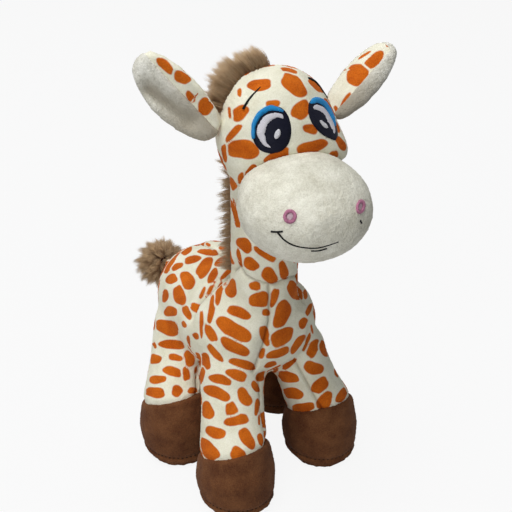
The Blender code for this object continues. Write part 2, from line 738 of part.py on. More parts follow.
def hang(name, pivot, carrier, build, *details):
    """Build a body's pieces and hang them, with their guides, on an empty at their joint."""
    before = list(bpy.data.objects)
    build(*details)
    joint = bpy.data.objects.new(name, None)
    bpy.context.scene.collection.objects.link(joint)
    for thing in bpy.data.objects:
        if thing not in before and thing != joint:
            thing.parent = joint
            thing.location = -pivot
    joint["pivot"] = pivot
    joint.parent = carrier
    joint.location = pivot - Vector(carrier["pivot"]) if carrier else pivot - BOX_MIDDLE
    return joint


def main():
    clear_scene()
    torso = hang("toy", Vector(), None, build_body)
    for name, (hip, foot) in hips().items():
        hang("joint_leg_" + name, hip, torso, build_leg, name, hip, foot)
    neck = hang("joint_neck", Vector((0.0, NECK_Y, NECK_PIVOT_Z)), torso, build_neck)
    head = hang("joint_head", head_pivot(), neck, build_head)
    left_tip = Vector((EAR_TIP_LEFT_OUT, EAR_TIP_LEFT_Y, EAR_TIP_LEFT_Z))
    right_tip = Vector((-EAR_TIP_RIGHT_OUT, EAR_TIP_RIGHT_Y, EAR_TIP_RIGHT_Z))
    for side, sign, tip, tilt_deg in (
        ("left", 1, left_tip, EAR_TILT_LEFT_DEG),
        ("right", -1, right_tip, EAR_TILT_RIGHT_DEG),
    ):
        pivot = head_turn() @ ear_root(sign)
        hang("joint_ear_" + side, pivot, head, build_ear, side, sign, tip, tilt_deg)
    hang("joint_tail", tail_root(), torso, build_tail)


main()
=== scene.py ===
# %% [markdown]
# # A stuffed giraffe, made up over its frame
#
# The frame holds plain solids at their right size and place, and this file makes what is seen: the
# pile fabric with its print, the fur, the embroidery and the seams. The solids come from a packed
# model, so every new piece is worked out from them. What was read off the photograph, and the few
# corrections, are named values.

# %% Load the frame
import json
import math

import bmesh
import bpy
import numpy as np
from mathutils import Matrix, Vector
from mathutils.bvhtree import BVHTree
from mathutils.kdtree import KDTree


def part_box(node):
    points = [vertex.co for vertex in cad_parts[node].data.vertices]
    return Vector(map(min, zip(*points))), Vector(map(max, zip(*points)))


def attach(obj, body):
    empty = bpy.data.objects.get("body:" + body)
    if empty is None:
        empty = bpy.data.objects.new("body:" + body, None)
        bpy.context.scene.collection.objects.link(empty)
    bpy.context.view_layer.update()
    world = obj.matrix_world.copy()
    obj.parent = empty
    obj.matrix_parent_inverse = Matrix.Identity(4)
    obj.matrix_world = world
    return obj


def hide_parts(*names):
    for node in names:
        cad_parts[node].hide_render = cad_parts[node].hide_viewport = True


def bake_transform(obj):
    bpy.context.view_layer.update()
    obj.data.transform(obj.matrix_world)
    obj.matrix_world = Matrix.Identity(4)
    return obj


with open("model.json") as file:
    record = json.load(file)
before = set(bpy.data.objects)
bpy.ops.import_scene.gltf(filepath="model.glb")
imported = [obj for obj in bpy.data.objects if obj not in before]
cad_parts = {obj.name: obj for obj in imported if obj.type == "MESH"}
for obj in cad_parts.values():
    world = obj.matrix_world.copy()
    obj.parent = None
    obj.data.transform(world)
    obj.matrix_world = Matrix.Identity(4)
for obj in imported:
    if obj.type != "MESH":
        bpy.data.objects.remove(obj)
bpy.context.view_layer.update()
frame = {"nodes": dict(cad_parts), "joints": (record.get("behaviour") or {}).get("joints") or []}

scene = bpy.context.scene
JOINT = {joint["name"]: Vector(joint["pos_m"]) for joint in frame["joints"]}
LEGS = ("front_left", "front_right", "rear_left", "rear_right")
SIDES = ("left", "right")
MM = 0.001
SEED = 7
rng = np.random.default_rng(SEED)


def placed(name, data):
    """A new object of the scene that shows some data."""
    made = bpy.data.objects.new(name, data)
    scene.collection.objects.link(made)
    return made


def cosine_sine(degrees):
    return math.cos(math.radians(degrees)), math.sin(math.radians(degrees))


# %% [markdown]
# ## Camera
#
# The camera stands where the photograph was taken from: in front of the toy's right shoulder and
# above it. It comes first, because places that were read off the photograph are turned into places
# on the toy by a ray through the same camera.

# %% Camera
PHOTO_SIDE = 512
CAMERA_AZIMUTH_DEG = -33.0
CAMERA_REACH = 0.462
CAMERA_HEIGHT = 0.363
LOOK_AT = Vector((0.0097, -0.0039, 0.1185))
PIXELS_PER_METRE = 1772.7
SENSOR_WIDTH = 36.0

azimuth = math.radians(CAMERA_AZIMUTH_DEG)
eye_point = Vector((
    LOOK_AT.x + math.sin(azimuth) * CAMERA_REACH,
    LOOK_AT.y - math.cos(azimuth) * CAMERA_REACH,
    CAMERA_HEIGHT,
))
sight = LOOK_AT - eye_point
FOCAL_PIXELS = PIXELS_PER_METRE * sight.length
camera_data = bpy.data.cameras.new("camera")
camera_data.sensor_width = SENSOR_WIDTH
camera_data.lens = SENSOR_WIDTH * FOCAL_PIXELS / PHOTO_SIDE
camera = placed("camera", camera_data)
camera.location = eye_point
camera.rotation_euler = sight.to_track_quat("-Z", "Y").to_euler()
scene.camera = camera
LOOK_TURN = camera.rotation_euler.to_matrix()
print("camera lens:", round(camera_data.lens, 1), "mm at", round(sight.length, 3), "m")


def pixel_ray(across, down):
    """The direction in which the camera sees a pixel of the photograph."""
    half = PHOTO_SIDE / 2
    return (LOOK_TURN @ Vector((across - half, half - down, -FOCAL_PIXELS))).normalized()


def photo_place(points):
    """Where the camera sees points: pixels across, pixels down, and depth."""
    seen = (points - np.array(eye_point)) @ np.array(LOOK_TURN)
    half = PHOTO_SIDE / 2
    depth = -seen[:, 2]
    return half + seen[:, 0] / depth * FOCAL_PIXELS, half - seen[:, 1] / depth * FOCAL_PIXELS, depth


# %% [markdown]
# ## Light, floor and backdrop
#
# A toy like this is shown on a pale sweep under soft light. Large area lamps give soft shadows, and
# the floor shows itself white to the camera by a part of its own glow, so that the lamps can stay at
# the level at which the fabric keeps its colour and the floor still takes a shadow.

# %% Light and floor
FLOOR_SIDE = 6.0
FLOOR_COLOUR = (0.55, 0.55, 0.56, 1.0)
BACKDROP_COLOUR = (1.0, 1.0, 1.0, 1.0)
FLOOR_GLOW_SHARE = 0.9
FLOOR_ROUGHNESS = 0.9
LAMPS = {
    "key_lamp": ((-0.35, -0.17, 1.65), 0.75, 16.0),
    "fill_lamp": ((-1.35, -0.8, 0.75), 1.0, 8.0),
    "back_lamp": ((0.2, 1.2, 1.2), 0.9, 4.0),
}
LAMP_TARGET = Vector((0.0, 0.0, 0.12))
ROOM_COLOUR = (0.93, 0.96, 1.0, 1.0)
ROOM_STRENGTH = 0.2


def add_lamp(name, place, size, power):
    data = bpy.data.lights.new(name, "AREA")
    data.size = size
    data.energy = power
    lamp = placed(name, data)
    lamp.location = place
    lamp.rotation_euler = (LAMP_TARGET - lamp.location).to_track_quat("-Z", "Y").to_euler()


for lamp_name, lamp_details in LAMPS.items():
    add_lamp(lamp_name, *lamp_details)


def largest(tree, *sockets):
    """The largest of some sockets."""
    result = sockets[0]
    for socket in sockets[1:]:
        step = tree.nodes.new("ShaderNodeMath")
        step.operation = "MAXIMUM"
        tree.links.new(result, step.inputs[0])
        tree.links.new(socket, step.inputs[1])
        result = step.outputs[0]
    return result


def show_to_camera(tree, lit, shown, output, share):
    """Show the camera, mirrors and glass a share of one shader, and light its way to the other."""
    path = tree.nodes.new("ShaderNodeLightPath")
    rays = [path.outputs[name] for name in ("Is Camera Ray", "Is Glossy Ray", "Is Transmission Ray")]
    part = tree.nodes.new("ShaderNodeMath")
    part.operation = "MULTIPLY"
    part.inputs[1].default_value = share
    tree.links.new(largest(tree, *rays), part.inputs[0])
    choice = tree.nodes.new("ShaderNodeMixShader")
    tree.links.new(part.outputs[0], choice.inputs[0])
    tree.links.new(lit, choice.inputs[1])
    tree.links.new(shown, choice.inputs[2])
    tree.links.new(choice.outputs[0], output)


world = bpy.data.worlds.new("room")
world.use_nodes = True
scene.world = world
room = world.node_tree
room_light = room.nodes["Background"]
room_light.inputs["Color"].default_value = ROOM_COLOUR
room_light.inputs["Strength"].default_value = ROOM_STRENGTH
room_shown = room.nodes.new("ShaderNodeBackground")
room_shown.inputs["Color"].default_value = BACKDROP_COLOUR
show_to_camera(
    room, room_light.outputs[0], room_shown.outputs[0], room.nodes["World Output"].inputs[0], 1.0,
)

floor_bm = bmesh.new()
bmesh.ops.create_grid(floor_bm, x_segments=1, y_segments=1, size=FLOOR_SIDE / 2)
floor_mesh = bpy.data.meshes.new("floor")
floor_bm.to_mesh(floor_mesh)
floor_bm.free()
floor = placed("floor", floor_mesh)
floor_material = bpy.data.materials.new("floor")
floor_material.use_nodes = True
floor_tree = floor_material.node_tree
floor_shader = floor_tree.nodes["Principled BSDF"]
floor_shader.inputs["Base Color"].default_value = FLOOR_COLOUR
floor_shader.inputs["Roughness"].default_value = FLOOR_ROUGHNESS
floor_glow = floor_tree.nodes.new("ShaderNodeEmission")
floor_glow.inputs["Color"].default_value = BACKDROP_COLOUR
show_to_camera(
    floor_tree, floor_shader.outputs[0], floor_glow.outputs[0],
    floor_tree.nodes["Material Output"].inputs[0], FLOOR_GLOW_SHARE,
)
floor_mesh.materials.append(floor_material)
scene.view_settings.view_transform = "Standard"
print("lamps:", ", ".join(LAMPS))

# %% [markdown]
# ## Material tools
#
# A finish is easier to read as a sum than as a list of nodes. One small class stands for a number
# that changes over the surface, and arithmetic on it adds the Math nodes. A second one holds a
# material and adds any other node.

# %% Finishes as sums
class Value:
    """A number in a material, on which arithmetic adds Math nodes."""

    def __init__(self, finish, socket):
        self.finish = finish
        self.socket = socket

    def math(self, operation, first, second=0.0, clamp=False):
        settings = {"operation": operation, "use_clamp": clamp}
        made = self.finish.node("ShaderNodeMath", settings, {0: first, 1: second})
        return Value(self.finish, made.outputs[0])

    def __add__(self, other):
        return self.math("ADD", self, other)

    def __sub__(self, other):
        return self.math("SUBTRACT", self, other)

    def __mul__(self, other):
        return self.math("MULTIPLY", self, other)

    def sine(self):
        return self.math("SINE", self)

    def kept(self):
        """The same number, held between 0 and 1."""
        return self.math("ADD", self, 0.0, clamp=True)


class Finish:
    """One material, with a short way to add nodes to it."""

    def __init__(self, name, **constants):
        self.material = bpy.data.materials.new(name)
        self.material.use_nodes = True
        self.tree = self.material.node_tree
        self.shader = self.tree.nodes["Principled BSDF"]
        for title, value in constants.items():
            self.shader.inputs[title.replace("_", " ")].default_value = value

    def plug(self, socket, value):
        if isinstance(value, Value):
            value = value.socket
        if isinstance(value, bpy.types.NodeSocket):
            self.tree.links.new(value, socket)
        else:
            socket.default_value = value

    def node(self, kind, settings=None, sockets=None):
        made = self.tree.nodes.new(kind)
        for title, value in (settings or {}).items():
            setattr(made, title, value)
        for title, value in (sockets or {}).items():
            self.plug(made.inputs[title], value)
        return made

    def attribute(self, name):
        made = self.node("ShaderNodeAttribute", {"attribute_name": name})
        return Value(self, made.outputs["Fac"])

    def noise(self, scale, detail=2.0, stretch=None):
        """Noise from 0 to 1 on the object's own coordinates. Scale is in cells to a metre."""
        place = self.node("ShaderNodeTexCoord").outputs["Object"]
        if stretch:
            place = self.node("ShaderNodeMapping", None, {"Vector": place, "Scale": stretch}).outputs[0]
        made = self.node(
            "ShaderNodeTexNoise", None, {"Vector": place, "Scale": scale, "Detail": detail},
        )
        return Value(self, made.outputs["Fac"])

    def mixed(self, factor, first, second):
        """A colour between two colours."""
        made = self.node("ShaderNodeMix", {"data_type": "RGBA"}, {0: factor, 6: first, 7: second})
        return made.outputs[2]

    def finish(self, colour, height=None, depth=0.0, strength=1.0):
        """Connect what changes over the surface to the shader."""
        self.plug(self.shader.inputs["Base Color"], colour)
        if height is not None:
            sockets = {"Strength": strength, "Distance": depth, "Height": height}
            bump = self.node("ShaderNodeBump", None, sockets)
            self.plug(self.shader.inputs["Normal"], bump.outputs[0])
        return self.material


def colour(code):
    """A colour as the shader wants it, from the six digits that a colour picker shows."""
    parts = [int(code[start:start + 2], 16) / 255 for start in (0, 2, 4)]
    linear = [((part + 0.055) / 1.055) ** 2.4 if part > 0.04 else part / 12.92 for part in parts]
    return (*linear, 1.0)


# %% [markdown]
# ## Finishes
#
# Short pile is a velvet: thousands of fibre ends that scatter light, lighter where they are brushed
# towards the lamp. Fine noise drives a shallow bump, wide noise drives the brushed patches, and sheen
# gives the pale rim. The print is ink on the same pile, so its edge is broken up by the same noise.

# %% Pile
PILE_GRAIN = 1500.0
PILE_BRUSH = 110.0
PILE_DEPTH = 0.0007
PILE_STRENGTH = 0.6
PRINT_FRAY_MM = 0.55
PRINT_SHARPNESS = 1.7
SEAM_SHADE = 0.55
HOLLOW_SHADE = 0.85
PILE_SHINE = 0.15
GRAIN_SHARE = 0.6
BRUSH_CONTRAST = 1.6
GRAIN_CONTRAST = 1.3


def pile_height(finish):
    """The height of the fibre ends: a fine grain over a slower clumping."""
    grain = finish.noise(PILE_GRAIN, 3.0) * GRAIN_SHARE
    return grain + finish.noise(PILE_GRAIN / 3, 2.0) * (1 - GRAIN_SHARE)


def pile_tone(finish, tufted=0.0):
    """How brightly the pile shows at a place: brushed patches with a grain of fibre ends. Longer
    pile also stands in small tufts."""
    brushed = finish.noise(PILE_BRUSH, 3.0) - 0.5
    ends = finish.noise(PILE_GRAIN, 2.0) - 0.5
    tone = brushed * BRUSH_CONTRAST + ends * GRAIN_CONTRAST + 0.5
    if tufted:
        tone = tone + (finish.noise(PILE_GRAIN / 3, 2.0) - 0.5) * tufted
    return tone.kept()


def printed_pile():
    finish = Finish("printed_pile", Roughness=0.9, Sheen_Weight=0.02, Specular_IOR_Level=PILE_SHINE)
    tone = pile_tone(finish)
    ground = finish.mixed(tone, colour("DFDBC2"), colour("F6F4E2"))
    ink = finish.mixed(tone, colour("AE4A06"), colour("DA7218"))
    edge = finish.attribute("print") + (finish.noise(PILE_GRAIN, 2.0) - 0.5) * PRINT_FRAY_MM
    inked = (edge * PRINT_SHARPNESS + 0.5).kept()
    # Painted shade along the seams: a darker cream and a darker ink are mixed in by the kept seam value.
    dark = finish.mixed(inked, colour("8A7A60"), colour("6E2A06"))
    shown = finish.mixed(finish.attribute("seam") * SEAM_SHADE, finish.mixed(inked, ground, ink), dark)
    return finish.finish(shown, pile_height(finish), PILE_DEPTH, PILE_STRENGTH)


def plain_pile(name, dark, light, tufted=0.0, hollow=None):
    """Pile of one colour. Where a piece keeps a hollow value, a darker tone is mixed in as painted shade,
    as for the pile in the hollow of a fold, which gets less light.
    """
    finish = Finish(name, Roughness=0.92, Sheen_Weight=0.03, Specular_IOR_Level=PILE_SHINE)
    shown = finish.mixed(pile_tone(finish, tufted), dark, light)
    # Painted shade: the hollow value mixes the colour towards the darker tone.
    if hollow:
        shown = finish.mixed(finish.attribute("hollow") * HOLLOW_SHADE, shown, hollow)
    return finish.finish(shown, pile_height(finish), PILE_DEPTH * (1.0 + tufted), PILE_STRENGTH)


PRINTED = printed_pile()
PLAIN = plain_pile("plain_pile", colour("CFCBB8"), colour("F5F3E4"), 0.9)
# The lining's darkest colour is painted shade, for its fold and for the part near the ear's root.
LINING = plain_pile("lining_pile", colour("C6C3B4"), colour("F5F3E8"), 1.5, colour("A69D8B"))
BROWN = plain_pile("brown_pile", colour("4E2A17"), colour("7E5232"))

# %% [markdown]
# ## Fur and thread
#
# Long fur is made of real strands further down, so its finish only has to colour a strand from root
# to tip and vary it from one strand to the next. Embroidery thread is smooth and catches the light in
# a band, so its rows of stitches are a wave in the bump, on a length that each stitched piece keeps.

# %% Fur and thread finishes
STITCH_DEPTH = 0.00025
STITCH_STRENGTH = 0.7
PAINTED_GROOVE_SHADE = 0.6


def fur_strands(name, root, tip, other):
    finish = Finish(name, Roughness=0.7, Sheen_Weight=0.1)
    tone = finish.mixed(finish.attribute("along"), root, tip)
    return finish.finish(finish.mixed(finish.attribute("shade"), tone, other))


def satin(name, code, shine=0.3):
    finish = Finish(name, Roughness=0.5, Specular_IOR_Level=shine)
    rows = (finish.attribute("thread") * (2 * math.pi)).sine() * 0.5 + 0.5
    base = colour(code)
    # Painted shade between the rows of thread: the colour darkens where the bump is low.
    dark = (*[part * PAINTED_GROOVE_SHADE for part in base[:3]], 1.0)
    return finish.finish(finish.mixed(rows, dark, base), rows, STITCH_DEPTH, STITCH_STRENGTH)


MANE_FUR = fur_strands("mane_fur", colour("74502C"), colour("E2C69E"), colour("9C7548"))
TAIL_FUR = fur_strands("tail_fur", colour("5A3414"), colour("EFD0A2"), colour("9A6A38"))
NAVY = satin("navy_thread", "0A0D22", 0.12)
BLUE = satin("blue_thread", "1E9AE2")
LILAC = satin("lilac_thread", "F2EFF6")
WHITE = satin("white_thread", "F6F6FA")
PINK = satin("pink_thread", "CF84A4")
PALE_PINK = satin("pale_pink_thread", "DDBFC9")
BLACK = satin("black_thread", "121212", 0.12)
DARK = satin("dark_brown_thread", "2C160C", 0.1)
print("finishes:", len(bpy.data.materials))

# %% [markdown]
# ## Mesh tools
#
# Each soft form starts as a copy of the CAD solids. The voxel remesh turns overlapping solids into
# one even skin, which can be swollen, smoothed and cut.

# %% Copies, remeshing and smoothing
MERGE_REACH = 0.000001


def node_copy(*names):
    """Copies of CAD solids in one bmesh, with their loose triangles merged."""
    bm = bmesh.new()
    for name in names:
        bm.from_mesh(frame["nodes"][name].data)
    bmesh.ops.remove_doubles(bm, verts=bm.verts, dist=MERGE_REACH)
    return bm


def hull_copy(bm, *names):
    """Add the convex hull of CAD solids, which closes the openings of a round cover."""
    points = [bm.verts.new(vertex.co) for name in names for vertex in frame["nodes"][name].data.vertices]
    made = bmesh.ops.convex_hull(bm, input=points)
    spare = set(made["geom_interior"] + made["geom_unused"])
    loose = [vertex for vertex in points if vertex in spare or not vertex.link_faces]
    bmesh.ops.delete(bm, geom=loose, context="VERTS")
    return bm


def made_piece(name, bm, *materials):
    """Turn a bmesh into a smooth-shaded object."""
    bmesh.ops.recalc_face_normals(bm, faces=bm.faces)
    mesh = bpy.data.meshes.new(name)
    bm.to_mesh(mesh)
    bm.free()
    mesh.shade_smooth()
    for material in materials:
        mesh.materials.append(material)
    return placed(name, mesh)


def wear(piece, material):
    """Give a piece one material in place of any other."""
    piece.data.materials.clear()
    piece.data.materials.append(material)


def keep_values(mesh, title, values):
    """Keep a number at each point of a mesh, for its finish to read."""
    layer = mesh.attributes.new(title, "FLOAT", "POINT")
    layer.data.foreach_set("value", values.astype(np.float32))


def applied(piece):
    """Work an object's modifiers into its mesh."""
    graph = bpy.context.evaluated_depsgraph_get()
    mesh = bpy.data.meshes.new_from_object(piece.evaluated_get(graph))
    piece.modifiers.clear()
    piece.data = mesh
    mesh.shade_smooth()
    return piece


def remeshed(piece, voxel):
    step = piece.modifiers.new("Remesh", "REMESH")
    step.mode = "VOXEL"
    step.voxel_size = voxel
    return applied(piece)


def subdivided(piece):
    step = piece.modifiers.new("Subdivision", "SUBSURF")
    step.levels = 1
    step.render_levels = 1
    return applied(piece)


def read_points(piece, what):
    values = np.empty(len(piece.data.vertices) * 3, np.float32)
    if what == "co":
        piece.data.vertices.foreach_get("co", values)
    else:
        piece.data.vertex_normals.foreach_get("vector", values)
    return values.reshape(-1, 3).astype(float)


def points_of(piece):
    return read_points(piece, "co")


def normals_of(piece):
    return read_points(piece, "normal")


def move_points(piece, points):
    piece.data.vertices.foreach_set("co", points.astype(np.float32).ravel())
    piece.data.update()


def grown(piece, distance):
    """Move the surface out, or in where the distance is negative."""
    distance = np.broadcast_to(distance, len(piece.data.vertices))
    move_points(piece, points_of(piece) + normals_of(piece) * distance[:, None])
    return piece


def even_out(bm, vertices):
    """Draw points halfway towards the middle of their neighbours."""
    bmesh.ops.smooth_vert(
        bm, verts=vertices, factor=0.5, use_axis_x=True, use_axis_y=True, use_axis_z=True,
    )


def smoothed(piece, times):
    bm = bmesh.new()
    bm.from_mesh(piece.data)
    for _ in range(times):
        even_out(bm, bm.verts)
    bm.to_mesh(piece.data)
    bm.free()
    return piece


def closed_up(piece, voxel, reach):
    """Fill slots narrower than twice the reach, and round the creases between joined forms."""
    remeshed(piece, voxel)
    grown(piece, reach)
    remeshed(piece, voxel)
    return grown(piece, -reach)


def surface_tree(*pieces):
    """One search tree over the surfaces of some pieces."""
    vertices = []
    faces = []
    for piece in pieces:
        first = len(vertices)
        vertices += [vertex.co.copy() for vertex in piece.data.vertices]
        faces += [[first + index for index in face.vertices] for face in piece.data.polygons]
    return BVHTree.FromPolygons(vertices, faces)


def smooth_step(low, high, value):
    """0 below one value, 1 above the other, and an even slope between."""
    share = np.clip((value - low) / (high - low), 0.0, 1.0)
    return share * share * (3 - 2 * share)


def bell(distance, width):
    """1 at a line, falling evenly to 0 a few widths from it."""
    return np.exp(-((distance / width) ** 2))


# %% [markdown]
# ## Stuffing
#
# A stuffed toy is a slack bag of fabric that fibre presses out from inside, held back by its seams.
# Cloth with a little pressure and no gravity does that, with the seam points pinned. The move of each
# point is capped, so that the form keeps the size of its solid.

# %% Swell a skin with cloth
STUFFING_FRAMES = 20
SEAM_PINS = "seams"
PINNED_FROM = 0.5
CLOTH_SETTINGS = {
    "quality": 4,
    "mass": 0.15,
    "tension_stiffness": 12,
    "compression_stiffness": 12,
    "shear_stiffness": 6,
    "bending_stiffness": 0.3,
    "use_pressure": True,
    "uniform_pressure_force": 4.0,
}


def stuffed(piece, most, pinned=None):
    """Press a skin out from inside by at most a given distance."""
    before = points_of(piece)
    cloth = piece.modifiers.new("Cloth", "CLOTH")
    for title, value in CLOTH_SETTINGS.items():
        setattr(cloth.settings, title, value)
    cloth.settings.effector_weights.gravity = 0.0
    cloth.collision_settings.use_collision = False
    if pinned is not None:
        group = piece.vertex_groups.new(name=SEAM_PINS)
        for index in np.nonzero(pinned > PINNED_FROM)[0]:
            group.add([int(index)], 1.0, "REPLACE")
        cloth.settings.vertex_group_mass = SEAM_PINS
    for step in range(1, STUFFING_FRAMES + 1):
        scene.frame_set(step)
    applied(piece)
    scene.frame_set(1)
    piece.vertex_groups.clear()
    move = points_of(piece) - before
    length = np.linalg.norm(move, axis=1, keepdims=True)
    move_points(piece, before + move * np.minimum(1.0, most / np.maximum(length, most / 100)))
    print(piece.name, "swelled by", round(float(length.mean()) / MM, 2), "mm before the cap")
    return piece


# %% [markdown]
# ## Seams
#
# Two pieces of fabric are sewn right sides together and turned out, so a seam is a groove with the
# pile folded into it. A voxel skin has lost its seams, so they are lines worked out from the frame:
# one down the middle of chest and back, one round the foot of the neck, one along each leg, and one
# round each ankle, where the brown foot is sewn on.

# %% Where the seams run
MIDDLE_X = (JOINT["leg_front_left_swing"].x + JOINT["leg_front_right_swing"].x) / 2
MIDDLE_Y = (JOINT["leg_front_left_swing"].y + JOINT["leg_rear_left_swing"].y) / 2
NECK_CUT_BACK = Vector((0.0, -0.0100, 0.1195))
NECK_CUT_NORMAL = Vector((0.0, -0.35, 0.94)).normalized()
NECK_SEAM_LOW_Z = 0.095
CHEST_SEAM_LOW_Z = 0.055
LEG_SEAM_HIGH_Z = 0.072
HIP_TOP = 0.090
SEAM_REACH = 0.0006
FAR = 1.0
FRONT_SEAM_TURN_DEG = 30.0


def seam_plane(upper, lower):
    """The plane between two pieces that are sewn edge to edge: its middle, and its normal, up."""
    near = KDTree(len(frame["nodes"][lower].data.vertices))
    for index, vertex in enumerate(frame["nodes"][lower].data.vertices):
        near.insert(vertex.co, index)
    near.balance()
    rim = np.array([
        vertex.co for vertex in frame["nodes"][upper].data.vertices
        if near.find(vertex.co)[2] < SEAM_REACH
    ])
    middle = rim.mean(axis=0)
    normal = Vector(np.linalg.svd(rim - middle)[2][2])
    return Vector(middle), normal if normal.z > 0 else -normal


HOOF_SEAM = {leg: seam_plane("leg_cover_" + leg, "hoof_cover_" + leg) for leg in LEGS}


def leg_signs(leg):
    """Which side and which end of the toy a leg is on, as signs along X and Y."""
    hip = JOINT["leg_" + leg + "_swing"]
    return math.copysign(1.0, hip.x - MIDDLE_X), math.copysign(1.0, hip.y - MIDDLE_Y)


def in_quarter(points, leg):
    """Whether points lie on a leg's own quarter of the toy, under the top of its hip. The rear legs
    reach forwards, so low down the quarters part between the feet."""
    side, end = leg_signs(leg)
    name = leg.split("_")[1]
    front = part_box("hoof_cover_front_" + name)[1]
    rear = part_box("hoof_cover_rear_" + name)[0]
    hip_z = JOINT["leg_" + leg + "_swing"].z
    share = np.clip((hip_z - points[:, 2]) / (hip_z - front.z), 0.0, 1.0)
    middle_y = MIDDLE_Y + ((front.y + rear.y) / 2 - MIDDLE_Y) * share
    beside = (points[:, 0] - MIDDLE_X) * side > 0
    return beside & ((points[:, 1] - middle_y) * end > 0) & (points[:, 2] < HIP_TOP)


def leg_seam_distance(points, leg):
    """How far points lie from the seams along the front and the back of a leg."""
    hip = np.array(JOINT["leg_" + leg + "_swing"])
    ankle = np.array(HOOF_SEAM[leg][0])
    share = ((hip[2] - points[:, 2]) / (hip[2] - ankle[2]))[:, None]
    out = (points - (hip + (ankle - hip) * share))[:, :2]
    side, end = leg_signs(leg)
    turn = math.radians(FRONT_SEAM_TURN_DEG) if end < 0 else 0.0
    nearest = np.full(len(points), FAR)
    for facing in ((-side * math.sin(turn), -math.cos(turn)), (0.0, 1.0)):
        beside = np.abs(out[:, 0] * facing[1] - out[:, 1] * facing[0])
        ahead = out[:, 0] * facing[0] + out[:, 1] * facing[1] > 0
        nearest = np.where(ahead, np.minimum(nearest, beside), nearest)
    return np.where(in_quarter(points, leg) & (points[:, 2] < LEG_SEAM_HIGH_Z), nearest, FAR)


def above_neck_seam(points):
    """How far points lie above the plane in which the neck is sewn to the body."""
    return (points - np.array(NECK_CUT_BACK)) @ np.array(NECK_CUT_NORMAL)


def neck_seam_distance(points):
    return np.where(points[:, 2] > NECK_SEAM_LOW_Z, np.abs(above_neck_seam(points)), FAR)


def behind_neck(points):
    """Whether points lie on the side of the neck that the camera doesn't see."""
    neck = JOINT["neck_nod"]
    away = Vector((sight.x, sight.y, 0.0)).normalized()
    return (points - np.array(neck)) @ np.array(away) > 0


def seam_distance(points):
    """How far points of the skin lie from the nearest hidden seam, in metres."""
    on_back = (points[:, 2] > CHEST_SEAM_LOW_Z) & (above_neck_seam(points) < 0)
    on_back &= points[:, 1] > JOINT["neck_nod"].y
    middle = np.where(on_back, np.abs(points[:, 0] - MIDDLE_X), FAR)
    neck = np.where(behind_neck(points), neck_seam_distance(points), FAR)
    legs = [leg_seam_distance(points, leg) for leg in LEGS]
    return np.minimum.reduce([middle, neck, *legs])


print("front left ankle seam at", [round(value, 4) for value in HOOF_SEAM["front_left"][0]])

# %% [markdown]
# ## The skin
#
# On the real toy one printed fabric covers the body, the neck, the head and the upper legs, so these
# are first made as one skin. The cloth presses it out between its seams, and afterwards each seam is
# drawn in a little more, because a voxel is wider than a seam. The seams and creases that show in the
# photograph were read off it as lines, and they are laid on this skin through the camera.

# %% One skin for body, neck, head and legs
SKIN_VOXEL = 0.0019
SLOT_REACH = 0.0026
SKIN_SWELL = 0.0012
SEAM_PIN_WIDTH = 0.0012
SEAM_DIP = 0.0009
SEAM_DIP_WIDTH = 0.0040
SEAM_GROOVE = 0.0014
SEAM_GROOVE_WIDTH = 0.0010
CREASE_DIP = 0.0014
CREASE_WIDTH = 0.0030
SEAM_LINE_WIDTH = 0.0007
SEEN_LINE_STEPS = 160
SHOULDER_LINE = ((237, 266), (229, 272), (221, 279), (205, 293), (196, 303), (190, 318))
SEEN_SEAMS = (
    ((269, 285), (269.6, 300), (270, 323), (264.5, 345), (255, 371)),
    ((237, 266), (244, 276), (255, 282), (269, 285.3), (276, 285), (287, 280), (300, 275.5)),
    SHOULDER_LINE,
)
SEEN_CREASES = (
    SHOULDER_LINE,
    ((311, 323), (307, 350), (292, 365), (277, 370), (260, 377)),
)
LEG_END_DIP = 0.0003
HOOF_TOP_DIP = 0.0007
ANKLE_DIP_WIDTH = 0.0022
PILE_RAGGED = 0.00009
CHEEK_SPOT = (327, 156)
CHEEK_PUSH = 0.0090
CHEEK_WIDTH = 0.0140

skin_bm = node_copy(
    "body_panel_left", "body_panel_right", "body_filling", "neck_cover", "neck_filling",
    *["leg_cover_" + leg for leg in LEGS], *["leg_filling_" + leg for leg in LEGS],
)
hull_copy(skin_bm, "head_cover")
skin = closed_up(made_piece("skin", skin_bm), SKIN_VOXEL, SLOT_REACH)
smoothed(skin, 3)
stuffed(skin, SKIN_SWELL, bell(seam_distance(points_of(skin)), SEAM_PIN_WIDTH))
cheek = surface_tree(skin).ray_cast(eye_point, pixel_ray(*CHEEK_SPOT))[0]
points = points_of(skin)
push = CHEEK_PUSH * bell(np.linalg.norm(points - np.array(cheek), axis=1), CHEEK_WIDTH)
move_points(skin, points + np.array(LOOK_TURN @ Vector((1.0, 0.0, 0.0))) * push[:, None])
subdivided(skin)


def ankle_distance(points, leg):
    """How far points lie from the plane of a foot's seam, for those near that foot."""
    middle, normal = HOOF_SEAM[leg]
    away = np.abs((points - np.array(middle)) @ np.array(normal))
    return np.where(in_quarter(points, leg), away, FAR)


def seen_line_distance(points, tree, line):
    """How far points lie from a line of the photograph, laid on a surface."""
    corners = np.array(line, float)
    steps = np.linspace(0, len(line) - 1, SEEN_LINE_STEPS)
    laid = KDTree(SEEN_LINE_STEPS)
    for index, step in enumerate(steps):
        first = min(int(step), len(line) - 2)
        across, down = corners[first] + (corners[first + 1] - corners[first]) * (step - first)
        place = tree.ray_cast(eye_point, pixel_ray(across, down))[0]
        if place is not None:
            laid.insert(place, index)
    laid.balance()
    return np.array([laid.find(point)[2] for point in points])


def ruffled(piece, dip=0.0, ragged=PILE_RAGGED):
    """Draw a surface in by some depth, with the ends of its pile a little uneven."""
    return grown(piece, rng.normal(0.0, ragged, len(piece.data.vertices)) - dip)


